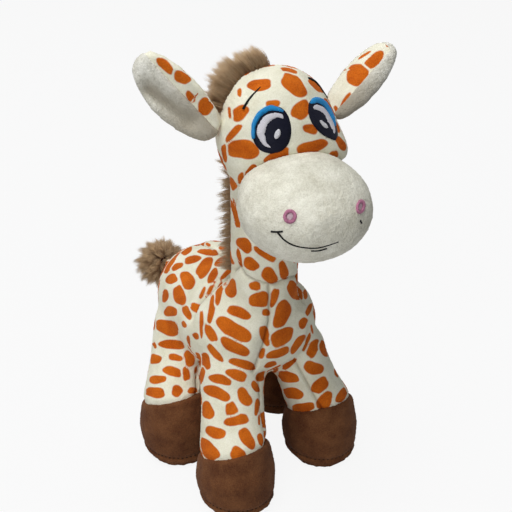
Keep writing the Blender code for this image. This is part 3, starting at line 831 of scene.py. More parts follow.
def drawn_in(piece):
    """Draw a skin in along its seams and round its ankles, and ruffle its pile a little."""
    points = points_of(piece)
    tree = surface_tree(piece)
    seen = [seen_line_distance(points, tree, line) for line in SEEN_SEAMS]
    seam = np.minimum.reduce([seam_distance(points), *seen])
    ankle = np.minimum.reduce([ankle_distance(points, leg) for leg in LEGS])
    dip = SEAM_DIP * bell(seam, SEAM_DIP_WIDTH) + SEAM_GROOVE * bell(seam, SEAM_GROOVE_WIDTH)
    dip += LEG_END_DIP * bell(ankle, ANKLE_DIP_WIDTH)
    # The seam value is painted shade: the finish darkens the pile in a narrow line along each seam.
    keep_values(piece.data, "seam", bell(seam, SEAM_LINE_WIDTH))
    for line in SEEN_CREASES:
        dip += CREASE_DIP * bell(seen_line_distance(points, tree, line), CREASE_WIDTH)
    return ruffled(piece, dip)


drawn_in(skin)
print("skin:", len(skin.data.polygons), "faces")

# %% [markdown]
# ## Muzzle, feet and soles
#
# These are sewn from plain fabric of their own, so each is its own piece. The muzzle and the feet
# are full, and the convex hull of their covers closes the side that is sewn to the rest. Each is then
# stuffed like the skin, and a foot is drawn in where it meets the leg and where it meets the sole.

# %% Muzzle, hooves and soles
MUZZLE_VOXEL = 0.0016
MUZZLE_SWELL = 0.0008
HOOF_VOXEL = 0.0014
HOOF_SWELL = 0.0006
SOLE_SEAM_Z = 0.0078
SOLE_DIP = 0.0011
SOLE_DIP_WIDTH = 0.0016
SOLE_SWELL = 0.0002


def full_form(name, node, voxel, times, swell):
    """A stuffed form from the hull of one cover."""
    piece = made_piece(name, hull_copy(bmesh.new(), node))
    return subdivided(stuffed(smoothed(remeshed(piece, voxel), times), swell))


def hoof_piece(leg):
    """A foot, drawn in at its ankle and at the edge of its sole."""
    piece = full_form("hoof_" + leg, "hoof_cover_" + leg, HOOF_VOXEL, 4, HOOF_SWELL)
    points = points_of(piece)
    dip = HOOF_TOP_DIP * bell(ankle_distance(points, leg), ANKLE_DIP_WIDTH)
    dip += SOLE_DIP * bell(points[:, 2] - SOLE_SEAM_Z, SOLE_DIP_WIDTH)
    return ruffled(piece, dip)


muzzle = full_form("muzzle", "muzzle_cover", MUZZLE_VOXEL, 3, MUZZLE_SWELL)
ruffled(muzzle)
hooves = {leg: hoof_piece(leg) for leg in LEGS}
soles = {leg: full_form("sole_" + leg, "hoof_sole_" + leg, HOOF_VOXEL, 1, SOLE_SWELL) for leg in LEGS}
print("muzzle:", len(muzzle.data.polygons), "faces, feet:", len(hooves))

# %% [markdown]
# ## The tail's stub
#
# The tail starts as a thin sewn tube of printed fabric with a little fibre in it. The frame holds it
# as a plain solid, and a copy of that is remeshed and smoothed until its edges are gone. It is made
# longer at both ends, because the real tube is sewn into the body and ends inside the tuft.

# %% Tail and other small forms
SMALL_VOXEL = 0.0009
TAIL_TUCKED_IN = 0.0055


def soft_copy(name, nodes, voxel, growth, times):
    """A softened copy of some solids, joined into one."""
    piece = remeshed(made_piece(name, node_copy(*nodes)), voxel)
    grown(piece, growth)
    piece = remeshed(piece, voxel)
    return subdivided(smoothed(piece, times))


def lengthened(piece, way, extra):
    """Lengthen a form at both ends along a direction, so that its ends reach into its neighbours."""
    points = points_of(piece)
    way = np.array(way.normalized())
    along = (points - points.mean(axis=0)) @ way
    half = np.abs(along).max()
    move_points(piece, points + way * (along * extra / half)[:, None])
    return piece


tail = soft_copy("tail_stub_pile", ["tail_stub"], SMALL_VOXEL, 0.0, 3)
tail_way = sum(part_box("tail_tuft"), Vector()) / 2 - JOINT["tail_wag"]
lengthened(tail, tail_way, TAIL_TUCKED_IN)
print("tail:", len(tail.data.polygons), "faces")

# %% [markdown]
# ## Ears
#
# An ear is folded lengthwise when it is sewn on, so that from any side a part of the printed back and
# a part of the plain lining show. Both layers are first one form. The hollow of the fold is pressed
# into it, the whole form becomes the printed back, and the part of its surface that the lining covers
# is lifted off as a thick sheet of longer pile, rounded at its rim. The lining's edge was read off the
# photograph, as a line on the picture for each ear.

# %% Ear shapes
EAR_GROWTH = 0.0004
LINING_EDGE = {"right": ((151.4, 58.7), (219.9, 131.4)), "left": ((337.0, 109.5), (383.8, 56.5))}
LINING_TIP = {"right": 500.0, "left": 80.0}
LINING_TURNED_AWAY = {"right": -2.0, "left": -0.3}
EDGE_SIDE_SHARE = {"right": (0.90, 0.92), "left": (0.95, 0.62)}
HOLLOW = {"right": ((143, 85), (196, 125)), "left": None}
HOLLOW_DEPTH = 0.0042
HOLLOW_WIDTH = 7.5
HOLLOW_END = 9.0
ROLL_HEIGHT = 0.0011
ROLL_PLACE = 10.0
ROLL_WIDTH = 7.0
LINING_THICKNESS = {"right": 0.0010, "left": 0.0013}
LINING_UNDER = 0.0008
RIM_SMOOTHING = 6
# Distances from an ear's root, in metres, over which the painted shade on its lining fades out.
ROOT_SHADE = (0.012, 0.042)
LINING_LEAST_FACING = -0.45


def beside_line(piece_points, line):
    """Where points lie on the picture: along a line, and to its right as one looks along it."""
    across, down, _ = photo_place(piece_points)
    (first_across, first_down), (last_across, last_down) = line
    length = math.hypot(last_across - first_across, last_down - first_down)
    ahead = ((last_across - first_across) / length, (last_down - first_down) / length)
    across = across - first_across
    down = down - first_down
    return across * ahead[0] + down * ahead[1], down * ahead[0] - across * ahead[1], length


def rays_to(points):
    """The directions in which the camera sees points."""
    rays = points - np.array(eye_point)
    return rays / np.linalg.norm(rays, axis=1, keepdims=True)


def narrowed(piece, line, left_share, right_share):
    """Draw a form together towards a line on the picture, by one share on each side of it."""
    points = points_of(piece)
    _, beside, _ = beside_line(points, line)
    _, _, depth = photo_place(points)
    ahead = Vector((line[1][0] - line[0][0], line[1][1] - line[0][1])).normalized()
    right = np.array(LOOK_TURN @ Vector((-ahead.y, -ahead.x, 0.0)))
    share = np.where(beside > 0, right_share, left_share)
    move = (share - 1) * beside * depth / FOCAL_PIXELS
    move_points(piece, points + right * move[:, None])


def fold_ends(along, length):
    """1 along the hollow of a fold, falling evenly to 0 past both of its ends."""
    first = smooth_step(-HOLLOW_END, HOLLOW_END, along)
    return first * smooth_step(-HOLLOW_END, HOLLOW_END, length - along)


def ear_form(side):
    """Both layers of an ear as one form, with the hollow of its fold."""
    nodes = ["ear_back_" + side, "ear_lining_" + side]
    piece = soft_copy("ear_back_pile_" + side, nodes, SMALL_VOXEL, EAR_GROWTH, 4)
    narrowed(piece, LINING_EDGE[side], *EDGE_SIDE_SHARE[side])
    if HOLLOW[side]:
        points = points_of(piece)
        along, beside, length = beside_line(points, HOLLOW[side])
        press = HOLLOW_DEPTH * bell(beside, HOLLOW_WIDTH) * fold_ends(along, length)
        _, below_edge, _ = beside_line(points, LINING_EDGE[side])
        press -= ROLL_HEIGHT * bell(below_edge - ROLL_PLACE, ROLL_WIDTH)
        move_points(piece, points + rays_to(points) * press[:, None])
    return piece


def ear_lining(side, back):
    """The sheet of plain pile that covers a part of an ear."""
    points = points_of(back)
    normals = normals_of(back)
    facing = -(normals * rays_to(points)).sum(axis=1)
    along, beside, _ = beside_line(points, LINING_EDGE[side])
    seen = ((beside > 0) | (along > LINING_TIP[side])) & (facing > LINING_LEAST_FACING)
    covered = seen | (facing < LINING_TURNED_AWAY[side])
    bm = bmesh.new()
    bm.from_mesh(back.data)
    bm.verts.ensure_lookup_table()
    spare = [face for face in bm.faces if not all(covered[vertex.index] for vertex in face.verts)]
    bmesh.ops.delete(bm, geom=spare, context="FACES")
    loose = [vertex for vertex in bm.verts if not vertex.link_faces]
    bmesh.ops.delete(bm, geom=loose, context="VERTS")
    for _ in range(RIM_SMOOTHING):
        even_out(bm, [vertex for vertex in bm.verts if vertex.is_boundary])
    bm.normal_update()
    for vertex in bm.verts:
        vertex.co += vertex.normal * LINING_THICKNESS[side]
    bmesh.ops.solidify(bm, geom=bm.faces[:], thickness=LINING_THICKNESS[side] + LINING_UNDER)
    piece = remeshed(made_piece("ear_lining_pile_" + side, bm), SMALL_VOXEL)
    subdivided(smoothed(piece, 3))
    points = points_of(piece)
    # Painted shade: the hollow value darkens the lining towards the ear's root, and along the hollow of the
    # fold where the ear has one.
    from_root = np.linalg.norm(points - np.array(JOINT["ear_" + side + "_flap"]), axis=1)
    hollow = 1 - smooth_step(*ROOT_SHADE, from_root)
    if HOLLOW[side]:
        along, beside, length = beside_line(points, HOLLOW[side])
        hollow = np.maximum(hollow, bell(beside, HOLLOW_WIDTH) * fold_ends(along, length))
    keep_values(piece.data, "hollow", hollow)
    return piece


ear_backs = {side: ear_form(side) for side in SIDES}
ear_linings = {side: ear_lining(side, ear_backs[side]) for side in SIDES}
print("ear:", [len(piece.data.polygons) for piece in (ear_backs["left"], ear_linings["left"])], "faces")

# %% [markdown]
# ## The print
#
# The fabric is printed with rounded orange patches on cream, of uneven size, like a giraffe's coat.
# A ready texture would repeat, so each patch that shows in the photograph was read off it: its
# middle, its half length, its half width and its turn on the picture. The sides that the photograph
# doesn't show get patches of like sizes, thrown at random where there is room. What is kept at each
# point of the mesh is how deep it lies inside the nearest patch, in millimetres, which changes evenly
# from point to point, so that the shader draws a clean edge between points.

# %% Patches of the print: across, down, half length, half width, turn in degrees
HEAD_PATCHES = (
    (289, 70, 8.5, 3.2, 18), (294, 85, 15, 8.5, 40), (259.5, 85, 12, 6, -10), (239.5, 92.5, 4.5, 2.2, 95),
    (240, 113, 10, 6.5, -40), (233.5, 133, 11.5, 3.6, -50), (243, 149.5, 15.5, 10, 5),
    (277, 156, 14, 6, -25), (301, 110, 11, 8, -45), (310.5, 129, 7.5, 5, 10), (312, 147, 15.5, 6.5, -18),
    (341, 143.5, 8, 4, 55), (316.5, 85, 9.5, 4.5, 42), (329.5, 107, 11, 4.5, 50),
    (337.5, 127, 6, 2.5, 75), (273, 104, 7.5, 4, 0), (230, 113, 6, 2.2, 80), (224.5, 153, 9.5, 3, 85),
)
NECK_PATCHES = (
    (226.5, 183, 11, 3.4, 80), (242, 180, 7, 4.5, 80), (250.5, 172.5, 9, 4.5, -55),
    (235.5, 213.5, 16, 3, 78), (245.5, 224.5, 7, 1.7, 66), (244.5, 245, 9.5, 6, 48),
    (265, 254, 12.5, 4.3, 32), (251, 264, 8.5, 5.8, 40), (239.5, 258, 9.5, 2.3, 78),
    (283.5, 270.5, 9.5, 4.5, 75), (269.5, 275.5, 9.5, 6.5, 55), (297.5, 266, 3.5, 1.4, 100),
)
BACK_PATCHES = (
    (193, 242, 13, 2.8, -18), (204.5, 239.5, 6, 2.5, -8), (186.5, 250.5, 6.5, 3.5, -30),
    (208, 252, 10.5, 3.5, 5), (208, 244.5, 3, 1.7, 30), (224.5, 248.5, 6, 2.3, 8),
    (192.5, 259.5, 8.3, 4, -12), (177, 266.5, 6.5, 3.2, -28), (204.5, 267.5, 12, 6, -55),
    (224.5, 260.5, 10, 5, -25), (213, 276.5, 8.5, 4.5, -65), (171.5, 279, 5.8, 5, -30),
    (187.5, 280.5, 9.5, 6.8, 75), (179.5, 295.5, 10.5, 5.8, 75), (165, 296, 7, 3.3, 100),
    (170.5, 311.5, 7, 5, 5), (187, 312.5, 7.5, 3.8, 60), (168, 327.5, 13, 7.5, 12),
    (184, 324.5, 3.5, 2.5, 60), (202.5, 293, 6.8, 2, -65), (211.5, 287.5, 12, 2, -60),
    (228, 272, 11, 2.5, -45),
)
SIDE_PATCHES = (
    (218.5, 294.5, 12, 3.5, -74), (211.5, 309.5, 15, 3.2, -82), (201.5, 324, 14.5, 2, -90),
    (231, 288.5, 9.5, 5.8, 85), (239, 312.5, 13, 5.2, 22), (233.5, 330, 19, 8.5, 32),
    (255, 286, 6, 4.5, 0), (259.5, 299.5, 11, 7.5, -5), (274, 297.5, 10, 4, -70),
    (266, 312.5, 4, 3.7, 0), (282, 314, 14, 8, -72), (295, 291, 10.5, 6.5, 50),
    (305.5, 293.5, 6, 2.6, 100), (309, 309.5, 6.5, 2.6, -65), (303, 323, 6, 4, -60),
    (281.5, 337, 13, 8, -28), (265, 335.5, 10, 5, 75), (234.5, 346.5, 15.5, 6.5, 28),
    (242.5, 364, 13.5, 4.5, 18), (236.5, 375, 10.5, 5.8, 18), (262, 353.5, 5.5, 3, -75),
    (215, 353, 11.5, 3.5, 50), (210.5, 333, 10.5, 4.5, 58), (278, 353, 12, 4.6, -17),
    (270.5, 364.5, 6.5, 2.8, -15), (272, 371, 7, 2.5, -18), (289, 363.5, 9, 3.5, -38),
    (297.5, 344, 11, 4, -55), (306.5, 342.5, 10.5, 2.3, -68), (312, 329.5, 5, 1.3, 80),
)
FRONT_RIGHT_PATCHES = (
    (205.5, 361, 8.5, 4.8, 70), (201, 375.5, 9.5, 3.5, -75), (220.5, 379.5, 11.5, 5, 15),
    (217, 393, 14, 6, 22), (207, 410.5, 9.5, 6.3, 60), (231.5, 409.5, 8, 6, 70),
    (236.5, 420, 12, 6, -10), (244.5, 397, 10, 6, 55), (255.5, 386.5, 6.5, 3.3, 65),
    (257, 407, 9, 2.5, -82), (215.5, 432.5, 11, 5.5, 18), (208, 449.5, 13, 7.8, 48),
    (238, 454.5, 8.5, 7, 30), (247, 438.5, 11.5, 6.3, 55), (196.5, 416.5, 12, 2.5, 90),
    (260.5, 439.5, 6.5, 3, 80), (259, 420, 5.5, 1.2, 88), (200, 460.5, 3.5, 2.5, 0),
)
FRONT_LEFT_PATCHES = (
    (313, 348.5, 9.5, 5.5, -62), (324, 348.5, 9, 4.5, 65), (313.5, 368, 10, 6.5, 20),
    (288, 377, 11, 5.5, 10), (292.5, 393.5, 10.5, 6, 5), (279, 396, 5, 2.5, 70),
    (320, 385.5, 10, 6.5, -45), (324.5, 401, 11, 6.5, -60), (303.5, 407.5, 11.5, 5, -5),
    (341.5, 395.5, 8, 4.5, -55), (336, 372.5, 5.5, 2.2, 65), (284, 412, 7, 4.5, 55),
    (303.5, 419, 7, 4, -10),
)
REAR_RIGHT_PATCHES = (
    (172, 344.5, 12.5, 5, 3), (152.5, 344, 5, 3.3, 60), (154.5, 359, 6.8, 5, 10),
    (175.5, 357.5, 7, 3.6, 12), (172.5, 371.5, 9.5, 5, 15), (147.5, 371, 5.5, 1.5, 90),
    (157.5, 379.5, 9, 4, -3), (155, 392.5, 10, 5.5, 5), (177, 391, 5.8, 5.5, -60),
    (189.5, 358.5, 8, 5.5, 80), (186, 374, 7.2, 3.8, 80), (188.5, 341.5, 6.5, 2, 85),
    (196, 336, 4, 2.8, 50), (192.5, 390.5, 5, 3.2, 0), (196, 371, 4.5, 2, 90),
)
EAR_RIGHT_PATCHES = (
    (165, 65.5, 11, 4.5, 42), (182, 77.5, 8.5, 6, 30), (190.5, 97, 6.5, 3.8, 55),
    (205.5, 106.5, 9, 7.5, -60), (214, 101.5, 7, 3.5, 38), (224.5, 134.5, 4.5, 2.5, 80),
)
EAR_LEFT_PATCHES = (
    (332, 81.5, 10, 5.5, -25), (357, 74.5, 12, 9.5, -60), (374.5, 60, 11, 6, -42),
    (387, 45, 2.2, 1.2, 80), (346, 99.5, 8.5, 2.5, -52), (364.5, 55, 7.5, 1.3, -32),
    (336, 109, 3.5, 2, 70),
)
TAIL_PATCHES = ((170.5, 260.5, 3.5, 5, 0),)
SKIN_PATCHES = HEAD_PATCHES + NECK_PATCHES + BACK_PATCHES + SIDE_PATCHES
SKIN_PATCHES += FRONT_RIGHT_PATCHES + FRONT_LEFT_PATCHES + REAR_RIGHT_PATCHES
print("patches read off the photograph:", len(SKIN_PATCHES), "on the skin")

# %% [markdown]
# ## How a patch lies on the fabric
#
# Ink lies flat on the fabric, so a patch is an oval on the surface and no solid of its own. Its
# middle is found by a ray through the camera, and its two half axes are laid on the surface there. A
# little wobble of the outline, different for each patch, takes away the look of a drawn ellipse. A
# picture wrapped round the toy could do the same, but it would stretch over the round head.

# %% Lay a patch on a surface
PATCH_ROUNDNESS = 2.4
PATCH_LINE_MM = 1.1
MOST_STRETCH = 2.0
WOBBLES = ((2, 0.05), (3, 0.06), (5, 0.03))
SIDE_ON = 0.15
FACE_ON = 0.45
NO_PATCH_MM = -50.0
PATCH_REACH = 1.3
PATCH_MARGIN = 0.009
PATCH_TURN = 0.0
SMALLEST_RADIUS = 0.05


class Print:
    """The printed patches on one surface: at each point, how deep the two nearest patches reach."""

    def __init__(self, piece):
        self.piece = piece
        self.points = points_of(piece)
        self.normals = normals_of(piece)
        self.across, self.down, _ = photo_place(self.points)
        self.facing = -(self.normals * rays_to(self.points)).sum(axis=1)
        self.deepest = np.full(len(self.points), NO_PATCH_MM)
        self.second = np.full(len(self.points), NO_PATCH_MM)
        self.fade = np.zeros(len(self.points))

    def add(self, middle, normal, long_axis, wide_axis, seen=None):
        """Add an oval patch with two half axes on the surface. Where the camera sees the surface
        square on, the patch keeps the outline that was read off the photograph."""
        reach = max(long_axis.length, wide_axis.length) * PATCH_REACH + PATCH_MARGIN
        offset = self.points - np.array(middle)
        near = np.nonzero((offset ** 2).sum(axis=1) < reach * reach)[0]
        near = near[self.normals[near] @ np.array(normal) > PATCH_TURN]
        axes = np.array([long_axis, wide_axis])
        along, beside = np.linalg.solve(axes @ axes.T, axes @ offset[near].T)
        if seen is not None:
            across, down, half_long, half_wide, turn = seen
            right = self.across[near] - across
            low = self.down[near] - down
            cosine, sine = cosine_sine(turn)
            share = smooth_step(SIDE_ON, FACE_ON, self.facing[near])
            along += (((right * cosine + low * sine) / half_long) - along) * share
            beside += (((low * cosine - right * sine) / half_wide) - beside) * share
        bearing = np.arctan2(beside, along)
        wobble = 1.0 + sum(
            size * np.sin(count * bearing + rng.uniform(0, 2 * math.pi)) for count, size in WOBBLES
        )
        along = np.abs(along / wobble)
        beside = np.abs(beside / wobble)
        power = PATCH_ROUNDNESS
        radius = np.maximum((along ** power + beside ** power) ** (1 / power), SMALLEST_RADIUS)
        steepness = radius ** (1 - power) * np.hypot(
            along ** (power - 1) / (long_axis.length / MM), beside ** (power - 1) / (wide_axis.length / MM),
        )
        depth = (1 - radius) / np.maximum(steepness, SMALLEST_RADIUS)
        if seen is None:
            depth = depth - self.fade[near]
        best = self.deepest[near]
        self.second[near] = np.maximum(self.second[near], np.minimum(best, depth))
        self.deepest[near] = np.maximum(best, depth)

    def add_seen(self, tree, patch):
        """Add a patch at its place on the photograph."""
        across, down, half_long, half_wide, turn = patch
        ray = pixel_ray(across, down)
        middle, normal, _, distance = tree.ray_cast(eye_point, ray)
        if middle is None:
            return 0
        pixel = distance / FOCAL_PIXELS
        cosine, sine = cosine_sine(turn)
        axes = []
        for flat, size in (((cosine, -sine, 0), half_long), ((-sine, -cosine, 0), half_wide)):
            shown = LOOK_TURN @ Vector(flat)
            lying = shown - ray * (shown.dot(normal) / ray.dot(normal))
            lying *= min(1.0, MOST_STRETCH / lying.length)
            axes.append(lying * (size * pixel))
        self.add(middle, normal, *axes, seen=patch)
        return 1

    def fill(self, hidden, sizes):
        """Throw patches of falling size where the camera doesn't see and there is room."""
        thrown = 0
        for size in sizes:
            room = -(size * FILL_OVERLAP + FILL_LINE_MM)
            for index in rng.permutation(hidden):
                if self.deepest[index] > room:
                    continue
                normal = Vector(self.normals[index])
                side = normal.orthogonal().normalized()
                side = Matrix.Rotation(rng.uniform(0, 2 * math.pi), 3, normal) @ side
                longer = math.sqrt(rng.uniform(*FILL_LENGTHS))
                long_axis = side * (size * MM * longer)
                wide_axis = normal.cross(side) * (size * MM / longer)
                self.add(Vector(self.points[index]), normal, long_axis, wide_axis)
                thrown += 1
        return thrown

    def keep(self):
        """Keep the depth at each point, with a cream line where two patches would meet."""
        between = (self.deepest - self.second - PATCH_LINE_MM) / 2
        keep_values(self.piece.data, "print", np.minimum(self.deepest, between))


# %% [markdown]
# ## Print each piece
#
# The fabric is printed before it is cut and sewn, so the pattern starts afresh on the ears and on the
# tail. Each piece first gets the patches that show in the photograph. Patches of falling size then
# fill what the camera doesn't see, the large ones first and small ones in the room that is left. On
# the ears they fade out where the surface turns to the camera.

# %% Print the skin, the ears and the tail
FILL_SIZES_MM = (6.3, 5.2, 4.3, 3.4, 2.6)
FILL_LENGTHS = (1.1, 2.0)
FILL_OVERLAP = 0.82
FILL_LINE_MM = 1.0
HIDDEN_DEPTH = 0.004
SKIN_HIDDEN_FACING = 0.04
EAR_HIDDEN_FACING = -0.35
FADE_MM = 6.0
FADE_FACING = (-0.25, 0.05)
FILL_CHOICES = 14000


def hidden_points(printing, cover_tree, least_facing):
    """Points of a surface that face away from the camera, or that something else hides from it."""
    chosen = rng.permutation(len(printing.points))[:FILL_CHOICES]
    hidden = []
    for index in chosen:
        if printing.facing[index] < least_facing:
            hidden.append(index)
            continue
        way = Vector(printing.points[index]) - eye_point
        if cover_tree.ray_cast(eye_point, way.normalized(), way.length - HIDDEN_DEPTH)[0]:
            hidden.append(index)
    return np.array(hidden)


cover_tree = surface_tree(skin, muzzle, *hooves.values())
for piece, patches in (
    (skin, SKIN_PATCHES), (ear_backs["left"], EAR_LEFT_PATCHES), (ear_backs["right"], EAR_RIGHT_PATCHES),
    (tail, TAIL_PATCHES),
):
    printing = Print(piece)
    own_tree = surface_tree(piece)
    laid = sum(printing.add_seen(own_tree, patch) for patch in patches)
    least_facing = SKIN_HIDDEN_FACING if piece is skin else EAR_HIDDEN_FACING
    if piece in ear_backs.values():
        printing.fade = FADE_MM * smooth_step(*FADE_FACING, printing.facing)
    thrown = printing.fill(hidden_points(printing, cover_tree, least_facing), FILL_SIZES_MM)
    printing.keep()
    print(piece.name, "has", laid, "patches of", len(patches), "from the photo and", thrown, "more")
for piece in (*ear_backs.values(), *ear_linings.values(), tail):
    ruffled(piece, ragged=PILE_RAGGED / 2)

# %% [markdown]
# ## Cutting the skin at its joints
#
# A toy's leg gives at the hip without a gap. A leg is cut off by a slanting plane that meets the skin
# in one loop. The neck is cut at its foot, in its middle and under the head, which makes two parts.

# %% Cutting planes
LEG_CUT_OUT = 0.010
LEG_CUT_BEND = 0.024
LEG_CUT_SLOPE = 0.35
NECK_TWIST_LOW = Vector((0.0, 0.0, 0.148))
NECK_TWIST_HIGH = Vector((0.0, 0.0, 0.174))
UPWARD = Vector((0.0, 0.0, 1.0))
REGIONS = ["torso_cover", "neck_low_cover", "neck_high_cover", "head_top_cover", "spare"]
UPPER_REGIONS = REGIONS.index("spare")
REGIONS += ["leg_cover_pile_" + leg for leg in LEGS]


def leg_cut(leg):
    """Two points on a line that slants down and away from a leg's hip; the skin is cut across the line at
    the first.
    """
    hip = JOINT["leg_" + leg + "_swing"]
    side, end = leg_signs(leg)
    away = Vector((side * LEG_CUT_SLOPE, end * LEG_CUT_SLOPE, -1.0)).normalized()
    return hip + away * LEG_CUT_OUT, hip + away * (LEG_CUT_OUT + LEG_CUT_BEND)


def cut_by(bm, faces, place, normal):
    """Cut some faces of a skin along a plane."""
    edges = {edge for face in faces for edge in face.edges}
    vertices = {vertex for face in faces for vertex in face.verts}
    bmesh.ops.bisect_plane(
        bm, geom=[*vertices, *edges, *faces], dist=MERGE_REACH, plane_co=place, plane_no=normal,
    )


def near_plane(faces, place, normal, reach):
    """The faces that lie close to a plane."""
    return [face for face in faces if abs((face.calc_center_median() - place).dot(normal)) < reach]


# %% [markdown]
# ## The parts of the skin
#
# A number on each face says to which part of the skin it belongs. Each part is then copied out, and
# its openings are closed with flat walls, so that every part is a closed body of its own. The walls
# lie inside the toy. The faces inside the feet are spare and are left out, and the leg covers reach
# a little way into the feet, as the real ones do at the seam.

# %% Cut and name the regions
CUT_REACH = 0.004
TUCKED_IN = 0.0030
MOST_SKIN_CORNERS = 8
regions = bmesh.new()
regions.from_mesh(skin.data)
region = regions.faces.layers.int.new("region")


def own_faces(leg):
    """The faces of the skin that lie on a leg's quarter of the toy."""
    faces = list(regions.faces)
    centres = np.array([face.calc_center_median() for face in faces])
    return [face for face, inside in zip(faces, in_quarter(centres, leg)) if inside]


for leg in LEGS:
    start, end = leg_cut(leg)
    away = (end - start).normalized()
    seam, upright = HOOF_SEAM[leg]
    ankle = seam - upright * TUCKED_IN
    cut_by(regions, near_plane(own_faces(leg), start, away, CUT_REACH), start, away)
    cut_by(regions, near_plane(own_faces(leg), ankle, upright, CUT_REACH), ankle, upright)
    for face in own_faces(leg):
        centre = face.calc_center_median()
        if (centre - start).dot(away) > 0:
            below = (centre - ankle).dot(upright) < 0
            face[region] = REGIONS.index("spare" if below else "leg_cover_pile_" + leg)
for place, normal, name in (
    (NECK_CUT_BACK, NECK_CUT_NORMAL, "neck_low_cover"),
    (NECK_TWIST_LOW, UPWARD, "neck_high_cover"),
    (NECK_TWIST_HIGH, UPWARD, "head_top_cover"),
):
    upper = [face for face in regions.faces if face[region] < UPPER_REGIONS]
    cut_by(regions, near_plane(upper, place, normal, CUT_REACH), place, normal)
    for face in regions.faces:
        if face[region] < UPPER_REGIONS and (face.calc_center_median() - place).dot(normal) > 0:
            face[region] = REGIONS.index(name)


def rim_edges(mesh):
    """The edges between the skin and the flat walls across its cuts, which are the large faces."""
    wide = {
        tuple(key) for polygon in mesh.polygons if len(polygon.vertices) > MOST_SKIN_CORNERS
        for key in polygon.edge_keys
    }
    return [edge for edge in mesh.edges if tuple(sorted(edge.vertices)) in wide]


def region_piece(name):
    """One region of the skin as a closed piece, with a flat wall across each cut."""
    bm = regions.copy()
    layer = bm.faces.layers.int["region"]
    wanted = REGIONS.index(name)
    bmesh.ops.delete(bm, geom=[face for face in bm.faces if face[layer] != wanted], context="FACES")
    rim = [edge for edge in bm.edges if edge.is_boundary]
    bmesh.ops.holes_fill(bm, edges=rim, sides=0)
    piece = made_piece(name, bm, PRINTED)
    for edge in rim_edges(piece.data):
        edge.use_edge_sharp = True
    return piece


covers = {name: region_piece(name) for name in REGIONS if name != "spare"}
regions.free()
bpy.data.objects.remove(skin)
for name, piece in covers.items():
    print(name, len(piece.data.polygons), "faces")

# %% [markdown]
# ## Curves read off the photograph
#
# The face is embroidered, so its lines are curves on a curved surface. A few points of each are read
# off the photograph, a smooth curve is drawn through them on the picture, and each point of the curve
# is sent along its ray to the head, where it meets the fabric.

# %% From the picture to the head
face_tree = surface_tree(covers["head_top_cover"], muzzle)
DENSE = 240


def curve_through(points, count):
    """Evenly spaced points on a smooth curve through some points of the photograph."""
    points = np.array(points, float)
    ends = np.vstack([2 * points[0] - points[1], points, 2 * points[-1] - points[-2]])
    places = np.linspace(0, len(points) - 1 - 1e-9, DENSE)
    index = places.astype(int)
    share = (places - index)[:, None]
    before, here, there, after = (ends[index + step] for step in range(4))
    bend = 2 * before - 5 * here + 4 * there - after
    dense = 0.5 * (
        2 * here + (there - before) * share + bend * share ** 2
        + (3 * here - before - 3 * there + after) * share ** 3
    )
    length = np.concatenate([[0], np.cumsum(np.linalg.norm(np.diff(dense, axis=0), axis=1))])
    even = np.linspace(0, length[-1], count)
    return np.stack([np.interp(even, length, dense[:, axis]) for axis in range(2)], axis=1)


def ring_round(across, down, half_long, half_wide, turn, count, first_deg=0.0, last_deg=360.0):
    """Points of an oval on the photograph, between two angles."""
    angles = np.radians(np.linspace(first_deg, last_deg, count))
    along = np.cos(angles) * half_long
    beside = np.sin(angles) * half_wide
    cosine, sine = cosine_sine(turn)
    return np.stack(
        [across + along * cosine - beside * sine, down + along * sine + beside * cosine], axis=1,
    )


def on_head(pixel):
    """The point of the head that the camera sees at a pixel, and the normal there."""
    place, normal, _, _ = face_tree.ray_cast(eye_point, pixel_ray(*pixel))
    if place is None:
        away = eye_point + pixel_ray(*pixel) * sight.length
        place, normal, _, _ = face_tree.find_nearest(away)
    return place, normal


# %% [markdown]
# ## Embroidery
#
# A satin-stitched patch is a thin pad of parallel threads, thickest in the middle and pulled down at
# its edges. Each is a grid whose two long sides follow two curves, laid on the head and extruded up
# from it. The eye is built up as it is sewn: a dark ground, the pale crescent, the blue lid and last
# the highlight, each a little prouder than the one below.

# %% Stitched pads
PAD_ACROSS = 8
PAD_SINK = 0.0008
THREAD_ROW = 0.00042
EDGE_POWER = 4
EDGE_HEIGHT_SHARE = 0.35
PAD_JOIN_REACH = 0.00002


